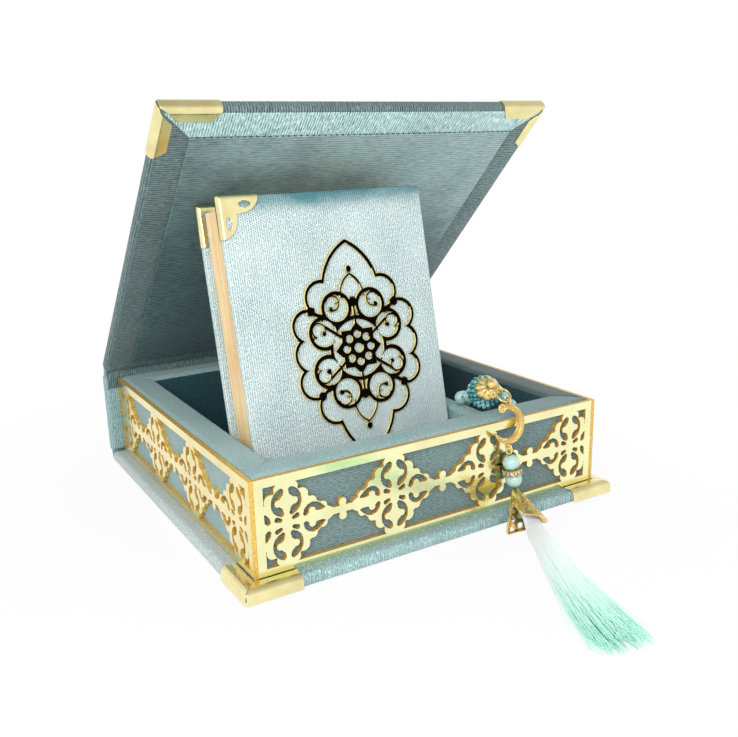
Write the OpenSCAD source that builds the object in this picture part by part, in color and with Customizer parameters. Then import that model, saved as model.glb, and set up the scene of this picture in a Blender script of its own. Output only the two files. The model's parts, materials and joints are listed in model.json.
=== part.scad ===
// Cloth covered gift box for a small book and its prayer beads.
// The case is three boards in one cloth cover: base, spine and lid.
// A tray of four padded walls stands on the base, cut gilt lattices face it,
// the book stands in the left compartment and the lid leans on its top edge.
// Millimetres, +Z up, the front looks to -Y, the origin is the middle of the underside.

/* [Book] */
// Width of the book, fore-edge to spine
book_w = 95; // [85:0.5:105]
// Height of the book, foot to head
book_h = 130; // [115:0.5:140]
// Thickness of each cover board with its cloth
cover_t = 3; // [2:0.1:4]
// Thickness of the block of pages
pages_t = 20; // [12:0.5:26]
// How far the covers stand out past the pages
cover_square = 3; // [2:0.1:5]
// Thickness of the spine board between the covers
book_spine_t = 3; // [2:0.1:4]
// Edge rounding of the covers
cover_r = 1.2; // [0.6:0.1:1.4]
// Backward lean of the standing book, degrees
book_lean = 12.5; // [8:0.5:16]
// Distance from the front wall to the foot of the back cover
book_stand = 37.5; // [32:0.5:44]
// Leg of the gilt corners on the covers
book_corner_leg = 17; // [12:0.5:22]
// Sheet thickness of the gilt corners on the covers
book_corner_t = 0.5; // [0.4:0.05:0.8]

/* [Tray] */
// Clear space at the fore-edge of the lying book
book_gap_left = 2; // [1:0.1:5]
// Clear space at the spine of the book
book_gap_right = 2; // [1:0.1:5]
// Clear length left over beside the lying book
book_gap_end = 10; // [6:0.5:20]
// Thickness of the divider between the compartments
divider_t = 8; // [5:0.5:12]
// How far the divider stays below the rim
divider_drop = 2.5; // [1:0.1:6]
// Width of the bead compartment
bead_space_w = 33; // [31:0.5:45]
// Thickness of the padded walls
wall_t = 13; // [10:0.5:16]
// Height of the walls above the base
wall_h = 40; // [38:0.5:46]
// Rounding of the rim
rim_r = 2.5; // [1.5:0.1:4]
// Thickness of the floor lining
floor_t = 2; // [1:0.1:3]

/* [Case] */
// Thickness of the base board
base_t = 5.5; // [4.5:0.1:7]
// Width of the ledge around the lattices
ledge = 6; // [5.8:0.1:9]
// Gap between the rear wall and the rear edge of the base
rear_gap = 0.5; // [0.3:0.1:1.5]
// Thickness of the spine board
spine_t = 5.5; // [4.5:0.1:6.5]
// Thickness of the lid board
lid_t = 5.5; // [4.5:0.1:7]
// Edge rounding of the boards
board_r = 2; // [1:0.1:2.2]
// Radius of the cloth rolls in the two folds
fold_r = 2.5; // [2:0.1:2.8]
// Clearance between a roll and the board edges
fold_gap = 0.4; // [0.3:0.05:0.8]
// Thickness of the lid lining
lining_t = 0.8; // [0.5:0.1:1.5]
// Margin of the lid lining at the front and the sides
lining_margin = 13.5; // [12:0.5:20]
// Margin of the lid lining at the fold
lining_back = 6; // [4:0.5:12]
// Leg of the gilt corners on the boards
corner_leg = 26; // [18:0.5:32]
// Width of the tabs of the gilt corners
corner_tab = 5.4; // [4:0.1:5.6]
// Sheet thickness of the gilt corners
corner_t = 0.6; // [0.4:0.05:0.9]

/* [Lattice] */
// Thickness of the cut sheet
panel_t = 2; // [1.5:0.1:3]
// Height of the lattice panels
panel_h = 39; // [37:0.5:40]
// Width of the long frame bars
bar_w = 3.5; // [2.5:0.1:4.5]
// Width of the upright frame bars
end_bar_w = 3.4; // [2.5:0.1:5]
// Number of motifs in a panel
motif_n = 4; // [3:1:5]
// Distance between the motifs as a share of the panel's length
motif_share = 0.283; // [0.27:0.001:0.295]
// Half width of a motif as a share of the distance between the motifs
motif_fill = 0.351; // [0.31:0.001:0.375]

/* [Medallion] */
// Thickness of the cut medallion
medal_t = 1.2; // [0.8:0.1:2]
// Half height of the medallion, tip to middle
medal_half_h = 45; // [40:0.5:50]
// Width of the outer band of the medallion
medal_band = 1.7; // [1.2:0.1:2.4]
// Distance of its middle from the fore-edge
medal_x = 53; // [46:0.5:56]
// Distance of its middle from the foot
medal_y = 63.5; // [58:0.5:70]

/* [Beads] */
// Diameter of the pearls of the strand
strand_d = 6; // [5:0.1:6.4]
// Spacing of the pearls along the strand
strand_pitch = 6.4; // [6.2:0.1:7]
// Diameter of the strand's thread
thread_d = 0.8; // [0.5:0.1:1.2]
// Diameter of the wound ball
ball_d = 14.6; // [12:0.1:16]
// Diameter of the gilt bead on the ball
cap_bead_d = 4.6; // [3:0.1:6]
// Diameter of the wire of rings and loops
wire_d = 0.9; // [0.7:0.1:1]
// Middle radius of the link ring
link_r = 3.2; // [3:0.1:3.6]
// Middle radius of the small loops
loop_r = 1.5; // [1.4:0.1:1.8]
// Outer radius of the crescent
crescent_r = 8.2; // [7.2:0.1:8.4]
// Inner radius of the crescent
crescent_in_r = 6.4; // [5.4:0.1:6.6]
// Thickness of the crescent
crescent_t = 2; // [1.4:0.1:2.2]
// Diameter of the two hanging pearls
drop_pearl_d = 7.2; // [6:0.1:7.6]
// Outer diameter of the crystal rondelle
rondelle_d = 8.6; // [8:0.1:9]
// Height of the rondelle
rondelle_h = 2.4; // [1.6:0.1:3]
// Bore of the rondelle
rondelle_bore = 5; // [4:0.1:5.6]
// Length of the petal cone along its axis
cone_len = 18.5; // [16:0.5:19.5]
// Radius of the mouth of the petal cone
cone_r = 8.8; // [7.5:0.1:9.2]
// Sheet thickness of the petal cone
cone_t = 0.7; // [0.5:0.1:1]
// Radius of the tassel's bound neck
tassel_neck_r = 3; // [2:0.1:3.4]
// Length of the tassel's skirt
tassel_len = 100; // [80:1:115]
// Width of the tassel's end
tassel_w = 17; // [14:0.5:22]
// Thickness of the tassel where it lies
tassel_h = 9; // [7:0.1:10]

/* [Hidden] */
$fn = 48;
eps = 0.01;
// Clearance between pieces that lean on one another
rest_gap = 0.3;
// Play between a gilt corner and its board
corner_fit = 0.05;
// Clearance between the closed lid and the rim
lid_clear = 0.2;
// Clearance between the floor lining and the walls
floor_fit = 0.2;
// Clearance between a wire and its bore
pin_fit = 0.15;
// Joint between the front cover and the spine
cover_joint = 0.4;

book_t = pages_t + 2 * cover_t;
inner_w = book_gap_left + book_w + book_gap_right + divider_t + bead_space_w;
inner_d = book_h + book_gap_end;
tray_w = inner_w + 2 * wall_t;
tray_d = inner_d + 2 * wall_t;
base_w = tray_w + 2 * (panel_t + ledge);
base_d = tray_d + panel_t + ledge + rear_gap;
front_edge = -base_d / 2;
rear_edge = base_d / 2;
wall_front = front_edge + ledge + panel_t;
panel_front = wall_front - panel_t;
wall_rear = wall_front + tray_d;
inner_front = wall_front + wall_t;
inner_left = -inner_w / 2;
inner_right = inner_w / 2;
rim_z = base_t + wall_h;
floor_z = base_t + floor_t;
book_left = inner_left + book_gap_left;
divider_left = book_left + book_w + book_gap_right;
divider_right = divider_left + divider_t;
divider_top = rim_z - divider_drop;

// The two folds of the cloth cover, as [y, z]
fold_reach = fold_r + fold_gap;
low_fold = [rear_edge + fold_reach, base_t / 2];
high_fold = [low_fold[0], rim_z + lining_t + lid_clear + lid_t / 2];
spine_z0 = low_fold[1] + fold_reach;
spine_z1 = high_fold[1] - fold_reach;
lid_len = high_fold[0] - front_edge - fold_reach;

// Foot of the standing book: middle of the rounding of the back cover's lower edge
foot_r = cover_r + book_corner_t;
foot_y = inner_front + book_stand - foot_r;
foot_z = floor_z + rest_gap + foot_r;
head_y = foot_y + (book_h - 2 * cover_r) * sin(book_lean);
head_z = foot_z + (book_h - 2 * cover_r) * cos(book_lean);
// Angle of the lid that rests on the head of the book
head_dist = norm([high_fold[0] - head_y, head_z - high_fold[1]]);
lid_drop = lid_t / 2 + lining_t + rest_gap + foot_r;
lid_rest = atan2(head_z - high_fold[1], high_fold[0] - head_y) + asin(lid_drop / head_dist);

function unit(v) = v / norm(v);
function mix(a, b, t) = a + (b - a) * t;

// The pendant's points, from the rim down
ball_c = [divider_left + 4.6, inner_front + 0.5, rim_z + ball_d / 2 + 0.5];
cap_dir = unit([-0.31, -0.78, 0.55]);
cap_h = 2.6;
cap_bead_c = ball_c + cap_dir * (ball_d / 2 + cap_h + cap_bead_d / 2 - 1);
// Middle of the bead's loop, of the link ring and of the two loops of the crescent
loop_dir = unit([0.45, -0.76, -0.46]);
link_dir = unit([0.2, -0.72, -0.66]);
charm_dir = unit([-0.1, -0.16, -0.98]);
link_top = cap_bead_c + loop_dir * (cap_bead_d / 2 + loop_r + wire_d / 4);
link_c = link_top + link_dir * link_r;
charm_top = link_top + link_dir * 2 * link_r;
charm_c = charm_top + charm_dir * (crescent_r + loop_r);
charm_low = charm_c + charm_dir * (crescent_r + loop_r);
// The wire under the crescent with its two pearls and the rondelle
pin_dir = unit([0.16, -0.06, -0.98]);
pin_top = charm_low + pin_dir * loop_r;
pearl_seat = sqrt(pow(drop_pearl_d / 2, 2) - pow(rondelle_bore / 2, 2)) + 0.1;
pearl_a = pin_top + pin_dir * (loop_r + wire_d / 2 + drop_pearl_d / 2 + 0.1);
rondelle_c = pearl_a + pin_dir * (pearl_seat + rondelle_h / 2);
pearl_b = rondelle_c + pin_dir * (pearl_seat + rondelle_h / 2);
// The petal cone, its mouth towards the table
cone_neck_r = 1.6;
cone_dir = unit([-0.18, -0.83, -0.47]);
cone_tip = pearl_b + pin_dir * (drop_pearl_d / 2 + cone_neck_r * 0.95 + rest_gap);

teal = "#7fa3a3";
dark_teal = "#2f5054";
gilt = "#d8b65c";
pearl = "#dff0ec";
mint = "#a9ead2";

// Places children at p with their z axis along d
module aim(p, d) {
  translate(p)
    rotate([0, acos(d[2] / norm(d)), atan2(d[1], d[0])])
      children();
}

// Rounded rectangle with its lower left corner at the origin
module round_rect(w, h, r) {
  translate([r, 0]) square([w - 2 * r, h]);
  translate([0, r]) square([w, h - 2 * r]);
  for (x = [r, w - r], y = [r, h - r])
    translate([x, y]) circle(r);
}

// Board of width w along x, depth d along y, thickness t, all edges rounded, corner at the origin
module board(w, d, t, r) {
  edge = min(r, t / 2 - 0.1);
  intersection() {
    translate([0, d, 0]) rotate([90, 0, 0]) linear_extrude(d) round_rect(w, t, edge);
    rotate([90, 0, 90]) linear_extrude(w) round_rect(d, t, edge);
  }
}

// Plan of a pressed corner: two tabs with slanted ends, a mitre slit between them
module corner_plan(leg, tab, out) {
  difference() {
    polygon([[-out, -out], [leg, -out], [leg - tab / 2, tab], [tab, tab],
      [tab, leg - tab / 2], [-out, leg]]);
    rotate(45) translate([tab * 0.5, -0.25]) square([tab * 1.2, 0.5]);
  }
}

// Pressed sheet corner round the corner of a board, at the board's corner at the origin
module sheet_corner(w, d, t, r, leg, tab, sheet, grow) {
  intersection() {
    translate([0, 0, -sheet - grow - 1]) linear_extrude(t + 2 * (sheet + grow) + 2)
      corner_plan(leg, tab, sheet + grow);
    difference() {
      translate([-sheet - grow, -sheet - grow, -sheet - grow])
        board(w + 2 * (sheet + grow), d + 2 * (sheet + grow), t + 2 * (sheet + grow), r + sheet + grow);
      translate([-grow, -grow, -grow])
        board(w + 2 * grow, d + 2 * grow, t + 2 * grow, r + grow);
    }
  }
}

// Base board with the recess of its two front corners
module base_core() {
  translate([-base_w / 2, front_edge, corner_t + corner_fit])
    board(base_w, base_d, base_t - corner_t - corner_fit, board_r);
}

module base_corner_zone(side) {
  mirror([side < 0 ? 0 : 1, 0, 0])
    translate([-base_w / 2, front_edge, -1])
      linear_extrude(base_t)
        polygon([[-1, -1], [corner_leg + corner_fit, -1], [corner_leg + corner_fit, corner_tab + corner_fit],
          [corner_tab + corner_fit, corner_tab + corner_fit], [corner_tab + corner_fit, corner_leg + corner_fit],
          [-1, corner_leg + corner_fit]]);
}

module base_board() {
  color(teal) difference() {
    translate([-base_w / 2, front_edge, 0]) board(base_w, base_d, base_t, board_r);
    for (side = [-1, 1])
      difference() {
        base_corner_zone(side);
        base_core();
      }
  }
}

module base_corner(side) {
  mirror([side < 0 ? 0 : 1, 0, 0])
    translate([-base_w / 2, front_edge, corner_t + corner_fit])
      sheet_corner(base_w, base_d, base_t - corner_t - corner_fit, board_r, corner_leg, corner_tab,
        corner_t, corner_fit);
}

module base_corner_left() { color(gilt) base_corner(-1); }
module base_corner_right() { color(gilt) base_corner(1); }

// Section of a padded wall, outer face at x = 0
module wall_section() {
  square([wall_t, wall_h - rim_r]);
  translate([rim_r, 0]) square([wall_t - 2 * rim_r, wall_h]);
  for (x = [rim_r, wall_t - rim_r])
    translate([x, wall_h - rim_r]) circle(rim_r);
}

// Mitred wall of length len along x, outer face on y = 0, middle at x = 0
module wall(len) {
  intersection() {
    translate([-len / 2, 0, 0]) rotate([90, 0, 90]) linear_extrude(len) wall_section();
    linear_extrude(wall_h)
      polygon([[-len / 2, 0], [len / 2, 0], [len / 2 - wall_t, wall_t], [-len / 2 + wall_t, wall_t]]);
  }
}

wall_mid_y = (wall_front + wall_rear) / 2;

module tray_front_wall() { color(teal) translate([0, wall_front, base_t]) wall(tray_w); }
module tray_rear_wall() { color(teal) translate([0, wall_rear, base_t]) rotate(180) wall(tray_w); }
module tray_left_wall() { color(teal) translate([-tray_w / 2, wall_mid_y, base_t]) rotate(-90) wall(tray_d); }
module tray_right_wall() { color(teal) translate([tray_w / 2, wall_mid_y, base_t]) rotate(90) wall(tray_d); }

module book_floor() {
  color(dark_teal)
    translate([inner_left + floor_fit, inner_front + floor_fit, base_t])
      cube([divider_left - inner_left - 2 * floor_fit, inner_d - 2 * floor_fit, floor_t]);
}

module bead_floor() {
  color(dark_teal)
    translate([divider_right + floor_fit, inner_front + floor_fit, base_t])
      cube([inner_right - divider_right - 2 * floor_fit, inner_d - 2 * floor_fit, floor_t]);
}

module divider() {
  color(dark_teal)
    translate([divider_left, inner_front + inner_d - floor_fit, base_t])
      rotate([90, 0, 0]) linear_extrude(inner_d - 2 * floor_fit) {
        square([divider_t, divider_top - base_t - rim_r]);
        translate([rim_r, 0]) square([divider_t - 2 * rim_r, divider_top - base_t]);
        for (x = [rim_r, divider_t - rim_r])
          translate([x, divider_top - base_t - rim_r]) circle(rim_r);
      }
}

// Half height of the space between the long bars
motif_half_h = panel_h / 2 - bar_w;

// Straight-sided piece of a cut from round spot p to round spot q, each [x, y, radius]
module cut_span(p, q) {
  ahead = [q[0] - p[0], q[1] - p[1]];
  side = [-ahead[1], ahead[0]] / norm(ahead) * 0.985;
  polygon([[p[0] - side[0] * p[2], p[1] - side[1] * p[2]], [q[0] - side[0] * q[2], q[1] - side[1] * q[2]],
    [q[0] + side[0] * q[2], q[1] + side[1] * q[2]], [p[0] + side[0] * p[2], p[1] + side[1] * p[2]]]);
}

// Cut with rounded ends through points of [x share of a, y share of b, radius share of b]
module curved_cut(points, a, b) {
  spots = [for (p = points) [p[0] * a, p[1] * b, p[2] * abs(b)]];
  for (p = spots)
    translate([p[0], p[1]]) circle(p[2]);
  for (i = [0 : len(spots) - 2])
    cut_span(spots[i], spots[i + 1]);
}

// Cut beside the upright leaf, from the stem outwards and up to the leaf's tip
leaf_cut = [[0.13, 0.255, 0.065], [0.185, 0.325, 0.1], [0.25, 0.385, 0.096], [0.295, 0.455, 0.08], [0.305, 0.535, 0.075],
  [0.285, 0.62, 0.084], [0.225, 0.7, 0.1], [0.165, 0.755, 0.1], [0.13, 0.8, 0.075]];
// Cut beside the small side leaf, from the knob outwards to the neck
side_cut = [[0.46, 0.13, 0.062], [0.5, 0.195, 0.085], [0.565, 0.245, 0.1], [0.64, 0.268, 0.106], [0.72, 0.25, 0.108],
  [0.79, 0.22, 0.094], [0.86, 0.19, 0.068], [0.925, 0.17, 0.038]];
// Slanted hole between the stem and the knob
knob_cut = [[0.165, 0.112, 0.05], [0.25, 0.145, 0.064]];
// Lobes of the outline, from the tip to the neck
lobes = [[0.17, 0.865, 0.13], [0.385, 0.62, 0.16], [0.625, 0.4, 0.125], [0.895, 0.2, 0.125]];

// Scalloped arabesque rosette, half width a, half height b
module motif_outline(a, b) {
  edge = [[0, 1], [0.2, 1], [0.29, 0.8], [0.55, 0.55], [0.79, 0.36], [0.96, 0.22], [1.16, 0.1]];
  n = len(edge) - 1;
  polygon(concat(
    [for (i = [0 : n]) [-edge[i][0] * a, edge[i][1] * b]], [for (i = [n : -1 : 0]) [-edge[i][0] * a, -edge[i][1] * b]],
    [for (i = [1 : n]) [edge[i][0] * a, -edge[i][1] * b]], [for (i = [n : -1 : 1]) [edge[i][0] * a, edge[i][1] * b]]));
  for (x = [-1, 1], y = [-1, 1], p = lobes)
    translate([x * p[0] * a, y * p[1] * b]) circle(p[2] * b);
}

module motif_cuts(a, b) {
  for (x = [-1, 1], y = [-1, 1]) {
    difference() {
      curved_cut(leaf_cut, x * a, y * b);
      translate([x * 0.2 * a, y * 0.525 * b]) circle(b * 0.085);
    }
    difference() {
      curved_cut(side_cut, x * a, y * b);
      translate([x * 0.63 * a, y * 0.16 * b]) circle(b * 0.085);
    }
    curved_cut(knob_cut, x * a, y * b);
  }
}

// Neck between two motifs with its small cross
module motif_link(a, b, gap) {
  neck = b * 0.17;
  square([gap, neck], center = true);
  for (s = [-1, 1])
    translate([0, s * b * 0.175]) circle(b * 0.1);
  square([b * 0.17, b * 0.36], center = true);
}

// One lattice panel of length len, lower edge on y = 0, middle at x = 0
module lattice_sheet(len) {
  pitch = len * motif_share;
  a = pitch * motif_fill;
  b = motif_half_h + 0.3;
  span = (motif_n - 1) * pitch;
  translate([-len / 2, 0]) square([len, bar_w]);
  translate([-len / 2, panel_h - bar_w]) square([len, bar_w]);
  for (x = [-len / 2, len / 2 - end_bar_w])
    translate([x, 0]) square([end_bar_w, panel_h]);
  intersection() {
    translate([-len / 2, 0]) square([len, panel_h]);
    union() {
      for (i = [0 : motif_n - 1])
        translate([i * pitch - span / 2, panel_h / 2])
          difference() {
            motif_outline(a, b);
            motif_cuts(a, b);
          }
      for (i = [0 : motif_n - 2])
        translate([(i + 0.5) * pitch - span / 2, panel_h / 2]) motif_link(a, b, pitch - 2 * a);
    }
  }
}

side_len = wall_rear - panel_front;
side_mid = (wall_rear + panel_front) / 2;

module front_lattice() {
  color(gilt) translate([0, wall_front, base_t]) rotate([90, 0, 0])
    linear_extrude(panel_t) lattice_sheet(tray_w);
}

module left_lattice() {
  color(gilt) translate([-tray_w / 2, side_mid, base_t]) rotate([90, 0, -90])
    linear_extrude(panel_t) lattice_sheet(side_len);
}

module right_lattice() {
  color(gilt) translate([tray_w / 2, side_mid, base_t]) rotate([90, 0, 90])
    linear_extrude(panel_t) lattice_sheet(side_len);
}

// Cloth roll in a fold, along x through p = [y, z]
module fold_roll(p) {
  roll_len = base_w - 2 * board_r;
  translate([-roll_len / 2, p[0], p[1]]) rotate([0, 90, 0]) cylinder(r = fold_r, h = roll_len);
}

module low_fold_cloth() { color(teal) fold_roll(low_fold); }
module high_fold_cloth() { color(teal) fold_roll(high_fold); }

module spine_board() {
  color(teal)
    translate([-base_w / 2, low_fold[0] + spine_t / 2, spine_z0]) rotate([90, 0, 0])
      board(base_w, spine_z1 - spine_z0, spine_t, board_r);
}

// Lid frame: x across, y from the fold to the front edge, z from the inner to the outer face
module lid_place() {
  translate([0, high_fold[0], high_fold[1]])
    rotate([-lid_rest, 0, 0])
      rotate(180)
        translate([0, fold_reach, -lid_t / 2])
          children();
}

module lid_board() {
  color(teal) lid_place() translate([-base_w / 2, 0, 0]) board(base_w, lid_len, lid_t, board_r);
}

module lid_lining() {
  color(teal) lid_place()
    translate([-base_w / 2 + lining_margin, lining_back, -lining_t])
      cube([base_w - 2 * lining_margin, lid_len - lining_back - lining_margin, lining_t]);
}

module lid_corner(side) {
  lid_place()
    mirror([side > 0 ? 0 : 1, 0, 0])
      translate([-base_w / 2, lid_len, 0]) mirror([0, 1, 0])
        sheet_corner(base_w, lid_len, lid_t, board_r, corner_leg, corner_tab, corner_t, corner_fit);
}

module lid_corner_left() { color(gilt) lid_corner(-1); }
module lid_corner_right() { color(gilt) lid_corner(1); }

// Book frame: x from the fore-edge, y from the foot to the head, z from the back to the front cover
module book_place() {
  translate([book_left, foot_y, foot_z])
    rotate([90 - book_lean, 0, 0])
      translate([0, -cover_r, -cover_r])
        children();
}

front_z = book_t - cover_t;

module book_back_cover() {
  color(teal) book_place() board(book_w, book_h, cover_t, cover_r);
}

module book_front_cover() {
  color(teal) book_place() translate([0, 0, front_z]) board(book_w, book_h, cover_t, cover_r);
}

module page_block() {
  color("#cfae7c") book_place()
    translate([cover_square, cover_square, cover_t])
      cube([book_w - cover_square - book_spine_t, book_h - 2 * cover_square, pages_t - cover_joint]);
}

module book_spine() {
  color(teal) book_place()
    translate([book_w - book_spine_t, cover_r, cover_t])
      cube([book_spine_t, book_h - 2 * cover_r, pages_t - cover_joint]);
}

// Plan of a pressed corner on a cover, with two leaf shaped openings
module leaf_corner_plan(leg, out) {
  difference() {
    polygon([[-out, -out], [leg, -out], [-out, leg]]);
    for (s = [0, 1])
      mirror([s, -s])
        translate([leg * 0.36, leg * 0.1]) rotate(-14)
          intersection() {
            translate([0, leg * 0.17]) circle(leg * 0.24);
            translate([0, -leg * 0.17]) circle(leg * 0.24);
          }
  }
}

// side is 1 with the pages above the cover, -1 with the pages below it
module leaf_corner(side) {
  sheet = book_corner_t;
  grow = corner_fit;
  lip = cover_square - rest_gap;
  difference() {
    intersection() {
      translate([0, 0, -sheet - grow - 1]) linear_extrude(cover_t + 2 * (sheet + grow) + 2)
        leaf_corner_plan(book_corner_leg, sheet + grow);
      difference() {
        translate([-sheet - grow, -sheet - grow, -sheet - grow])
          board(book_w, book_h, cover_t + 2 * (sheet + grow), cover_r + sheet + grow);
        translate([-grow, -grow, -grow])
          board(book_w, book_h, cover_t + 2 * grow, cover_r + grow);
      }
    }
    // Only a lip of the sheet turns in beside the pages
    translate([lip, lip, side > 0 ? cover_t / 2 : -cover_t / 2])
      cube([book_corner_leg, book_corner_leg, cover_t]);
  }
}

module head_corner(side) { translate([0, book_h, 0]) mirror([0, 1, 0]) leaf_corner(side); }

module front_corner_head() { color(gilt) book_place() translate([0, 0, front_z]) head_corner(-1); }
module front_corner_foot() { color(gilt) book_place() translate([0, 0, front_z]) leaf_corner(-1); }
module back_corner_head() { color(gilt) book_place() head_corner(1); }
module back_corner_foot() { color(gilt) book_place() leaf_corner(1); }

// Lobed outline of the medallion's outer band, grown by g
module medal_outline(g) {
  k = medal_half_h / 45;
  circle(22 * k + g);
  for (x = [-1, 1]) {
    translate([x * 22.2 * k, 0]) circle(7.2 * k + g);
    for (y = [-1, 1]) {
      translate([x * 22.4 * k, y * 11.6 * k]) circle(6.6 * k + g);
      translate([x * 14.4 * k, y * 22.4 * k]) circle(7.2 * k + g);
    }
  }
  for (y = [-1, 1])
    intersection() {
      translate([10.5 * k, y * 23.5 * k]) circle(24.1 * k + g);
      translate([-10.5 * k, y * 23.5 * k]) circle(24.1 * k + g);
      translate([-15 * k, y > 0 ? 20 * k : -50 * k]) square([30 * k, 30 * k]);
    }
}

// Inner cartouche of eight lobes, grown by g
module cartouche(g) {
  k = medal_half_h / 45;
  circle(13 * k + g);
  for (x = [-1, 1], y = [-1, 1]) {
    translate([x * 8.2 * k, y * 17.6 * k]) circle(6.4 * k + g);
    translate([x * 15.4 * k, y * 8 * k]) circle(6.4 * k + g);
  }
}

// Volute: open ring with a small eye at its free end, opening turned by a
module volute(r, w, a) {
  rotate(a) {
    difference() {
      circle(r + w / 2);
      circle(r - w / 2);
      translate([0, -2 * r]) square([2 * r, 2 * r]);
    }
    translate([r * 0.2, -r * 0.9]) circle(w);
  }
}

// Eight pointed star of two squares with a pierced rosette in it
module star_rosette(r) {
  difference() {
    union() {
      square(r * 1.42, center = true);
      rotate(45) square(r * 1.42, center = true);
    }
    for (i = [0 : 7])
      rotate(i * 45) translate([r * 0.52, 0]) circle(r * 0.13);
    circle(r * 0.17);
  }
}

module medallion_sheet() {
  k = medal_half_h / 45;
  half = medal_band * k / 2;
  difference() {
    medal_outline(half);
    medal_outline(-half);
  }
  difference() {
    cartouche(half * 1.2);
    cartouche(-half * 1.2);
  }
  star_rosette(11.2 * k);
  for (x = [-1, 1], y = [-1, 1]) {
    // Ties from the cartouche to the outer band
    translate([x * 20.2 * k, y * 17.6 * k]) circle(2.1 * k);
    translate([x * 17.4 * k, y * 15.6 * k]) rotate(x * y * 38) square([7 * k, 1.8 * k], center = true);
    // Spokes from the star to the cartouche
    translate([x * 10.2 * k, y * 7.4 * k]) rotate(x * y * 36) square([12 * k, 1.5 * k], center = true);
    mirror([x > 0 ? 0 : 1, 0]) mirror([0, y > 0 ? 0 : 1]) {
      translate([9.8 * k, 19.9 * k]) volute(3 * k, 1.1 * k, 10);
      translate([17.8 * k, 9.4 * k]) volute(3 * k, 1.1 * k, -70);
    }
  }
  for (y = [-1, 1]) {
    // Finial arch and drop over the cartouche
    difference() {
      intersection() {
        translate([4.4 * k, y * 22.6 * k]) circle(10.4 * k);
        translate([-4.4 * k, y * 22.6 * k]) circle(10.4 * k);
      }
      intersection() {
        translate([4.4 * k, y * 22.6 * k]) circle(9.2 * k);
        translate([-4.4 * k, y * 22.6 * k]) circle(9.2 * k);
      }
      translate([-10 * k, y > 0 ? 11 * k : -21.5 * k]) square([20 * k, 10.5 * k]);
    }
    translate([0, y * 33.4 * k]) circle(1.5 * k);
    translate([0, y * 32.4 * k]) square([0.9 * k, 3 * k], center = true);
    translate([0, y * 19.6 * k]) circle(2.2 * k);
    translate([0, y * 14.4 * k]) square([1.5 * k, 10 * k], center = true);
  }
}

module medallion() {
  color(gilt) book_place()
    translate([medal_x, medal_y, book_t]) linear_extrude(medal_t) medallion_sheet();
}

// Route of the pearl strand from the ball, over the divider, round the compartment and back
strand_floor = floor_z + strand_d / 2 + 0.2;
strand_knots = [
  ball_c + [0.6, 10.6, -4.4],
  [divider_left + 5, ball_c[1] + 17, divider_top + strand_d / 2 + 0.4],
  [divider_right + 3.4, ball_c[1] + 22.5, divider_top + 0.6],
  [divider_right + 6.5, ball_c[1] + 30, rim_z - 12],
  [divider_right + 7.5, ball_c[1] + 40, floor_z + 11],
  [divider_right + 8, ball_c[1] + 52, strand_floor],
  [divider_right + 8, ball_c[1] + 66, strand_floor],
  [divider_right + 11, ball_c[1] + 77, strand_floor],
  [(divider_right + inner_right) / 2, ball_c[1] + 82, strand_floor],
  [inner_right - 9, ball_c[1] + 76, strand_floor],
  [inner_right - 7, ball_c[1] + 64, strand_floor],
  [inner_right - 7, ball_c[1] + 46, strand_floor],
  [inner_right - 7.5, ball_c[1] + 33, floor_z + 7],
  [inner_right - 9, ball_c[1] + 20, floor_z + 18],
  [inner_right - 12, ball_c[1] + 10, rim_z - 11],
  [inner_right - 18, ball_c[1] + 4.2, rim_z - 2],
  ball_c + [12.6, 4, -4.6],
  ball_c + [9.6, 4.4, -2.4]];

// Point on the smooth curve through the knots, in segment i at t
function curve_point(q, i, t) =
  let (n = len(q) - 1, a = q[max(i - 1, 0)], b = q[i], c = q[i + 1], d = q[min(i + 2, n)])
    0.5 * (2 * b + (c - a) * t + (2 * a - 5 * b + 4 * c - d) * t * t
      + (3 * b - a - 3 * c + d) * t * t * t);
steps = 10;
strand_curve = [for (i = [0 : len(strand_knots) - 2], s = [0 : steps - 1])
  let (p = curve_point(strand_knots, i, s / steps)) [p[0], p[1], max(p[2], strand_floor)]];
strand_runs = [for (i = 0, s = 0; i < len(strand_curve);
  s = s + (i + 1 < len(strand_curve) ? norm(strand_curve[i + 1] - strand_curve[i]) : 0), i = i + 1) s];
strand_total = strand_runs[len(strand_runs) - 1];
function at_run(s, i = 0) =
  i >= len(strand_curve) - 2 || strand_runs[i + 1] >= s
    ? mix(strand_curve[i], strand_curve[i + 1], (s - strand_runs[i]) / (strand_runs[i + 1] - strand_runs[i]))
    : at_run(s, i + 1);
strand_n = floor(strand_total / strand_pitch);
strand_points = [for (i = [0 : strand_n]) at_run(i * strand_total / strand_n)];

module pearl_strand() {
  color(pearl) {
    for (p = strand_points) translate(p) sphere(d = strand_d);
    for (i = [1 : len(strand_points) - 1])
      let (run = strand_points[i] - strand_points[i - 1], inset = strand_d * 0.3)
        aim(strand_points[i - 1] + unit(run) * inset, run)
          cylinder(d = thread_d, h = norm(run) - 2 * inset);
  }
}

// Ball wound with rows of seed beads, rows around the axis of the cap
seed_rows = 7;
module bead_ball() {
  core = ball_d / 2 - 1;
  color("#3d8a8e") aim(ball_c, cap_dir)
    rotate_extrude() {
      intersection() {
        union() {
          circle(core);
          for (i = [0 : seed_rows - 1])
            rotate((i - (seed_rows - 1) / 2) * 150 / seed_rows) translate([core, 0]) circle(1);
        }
        translate([0, -ball_d]) square([ball_d, 2 * ball_d]);
      }
    }
}

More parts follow.
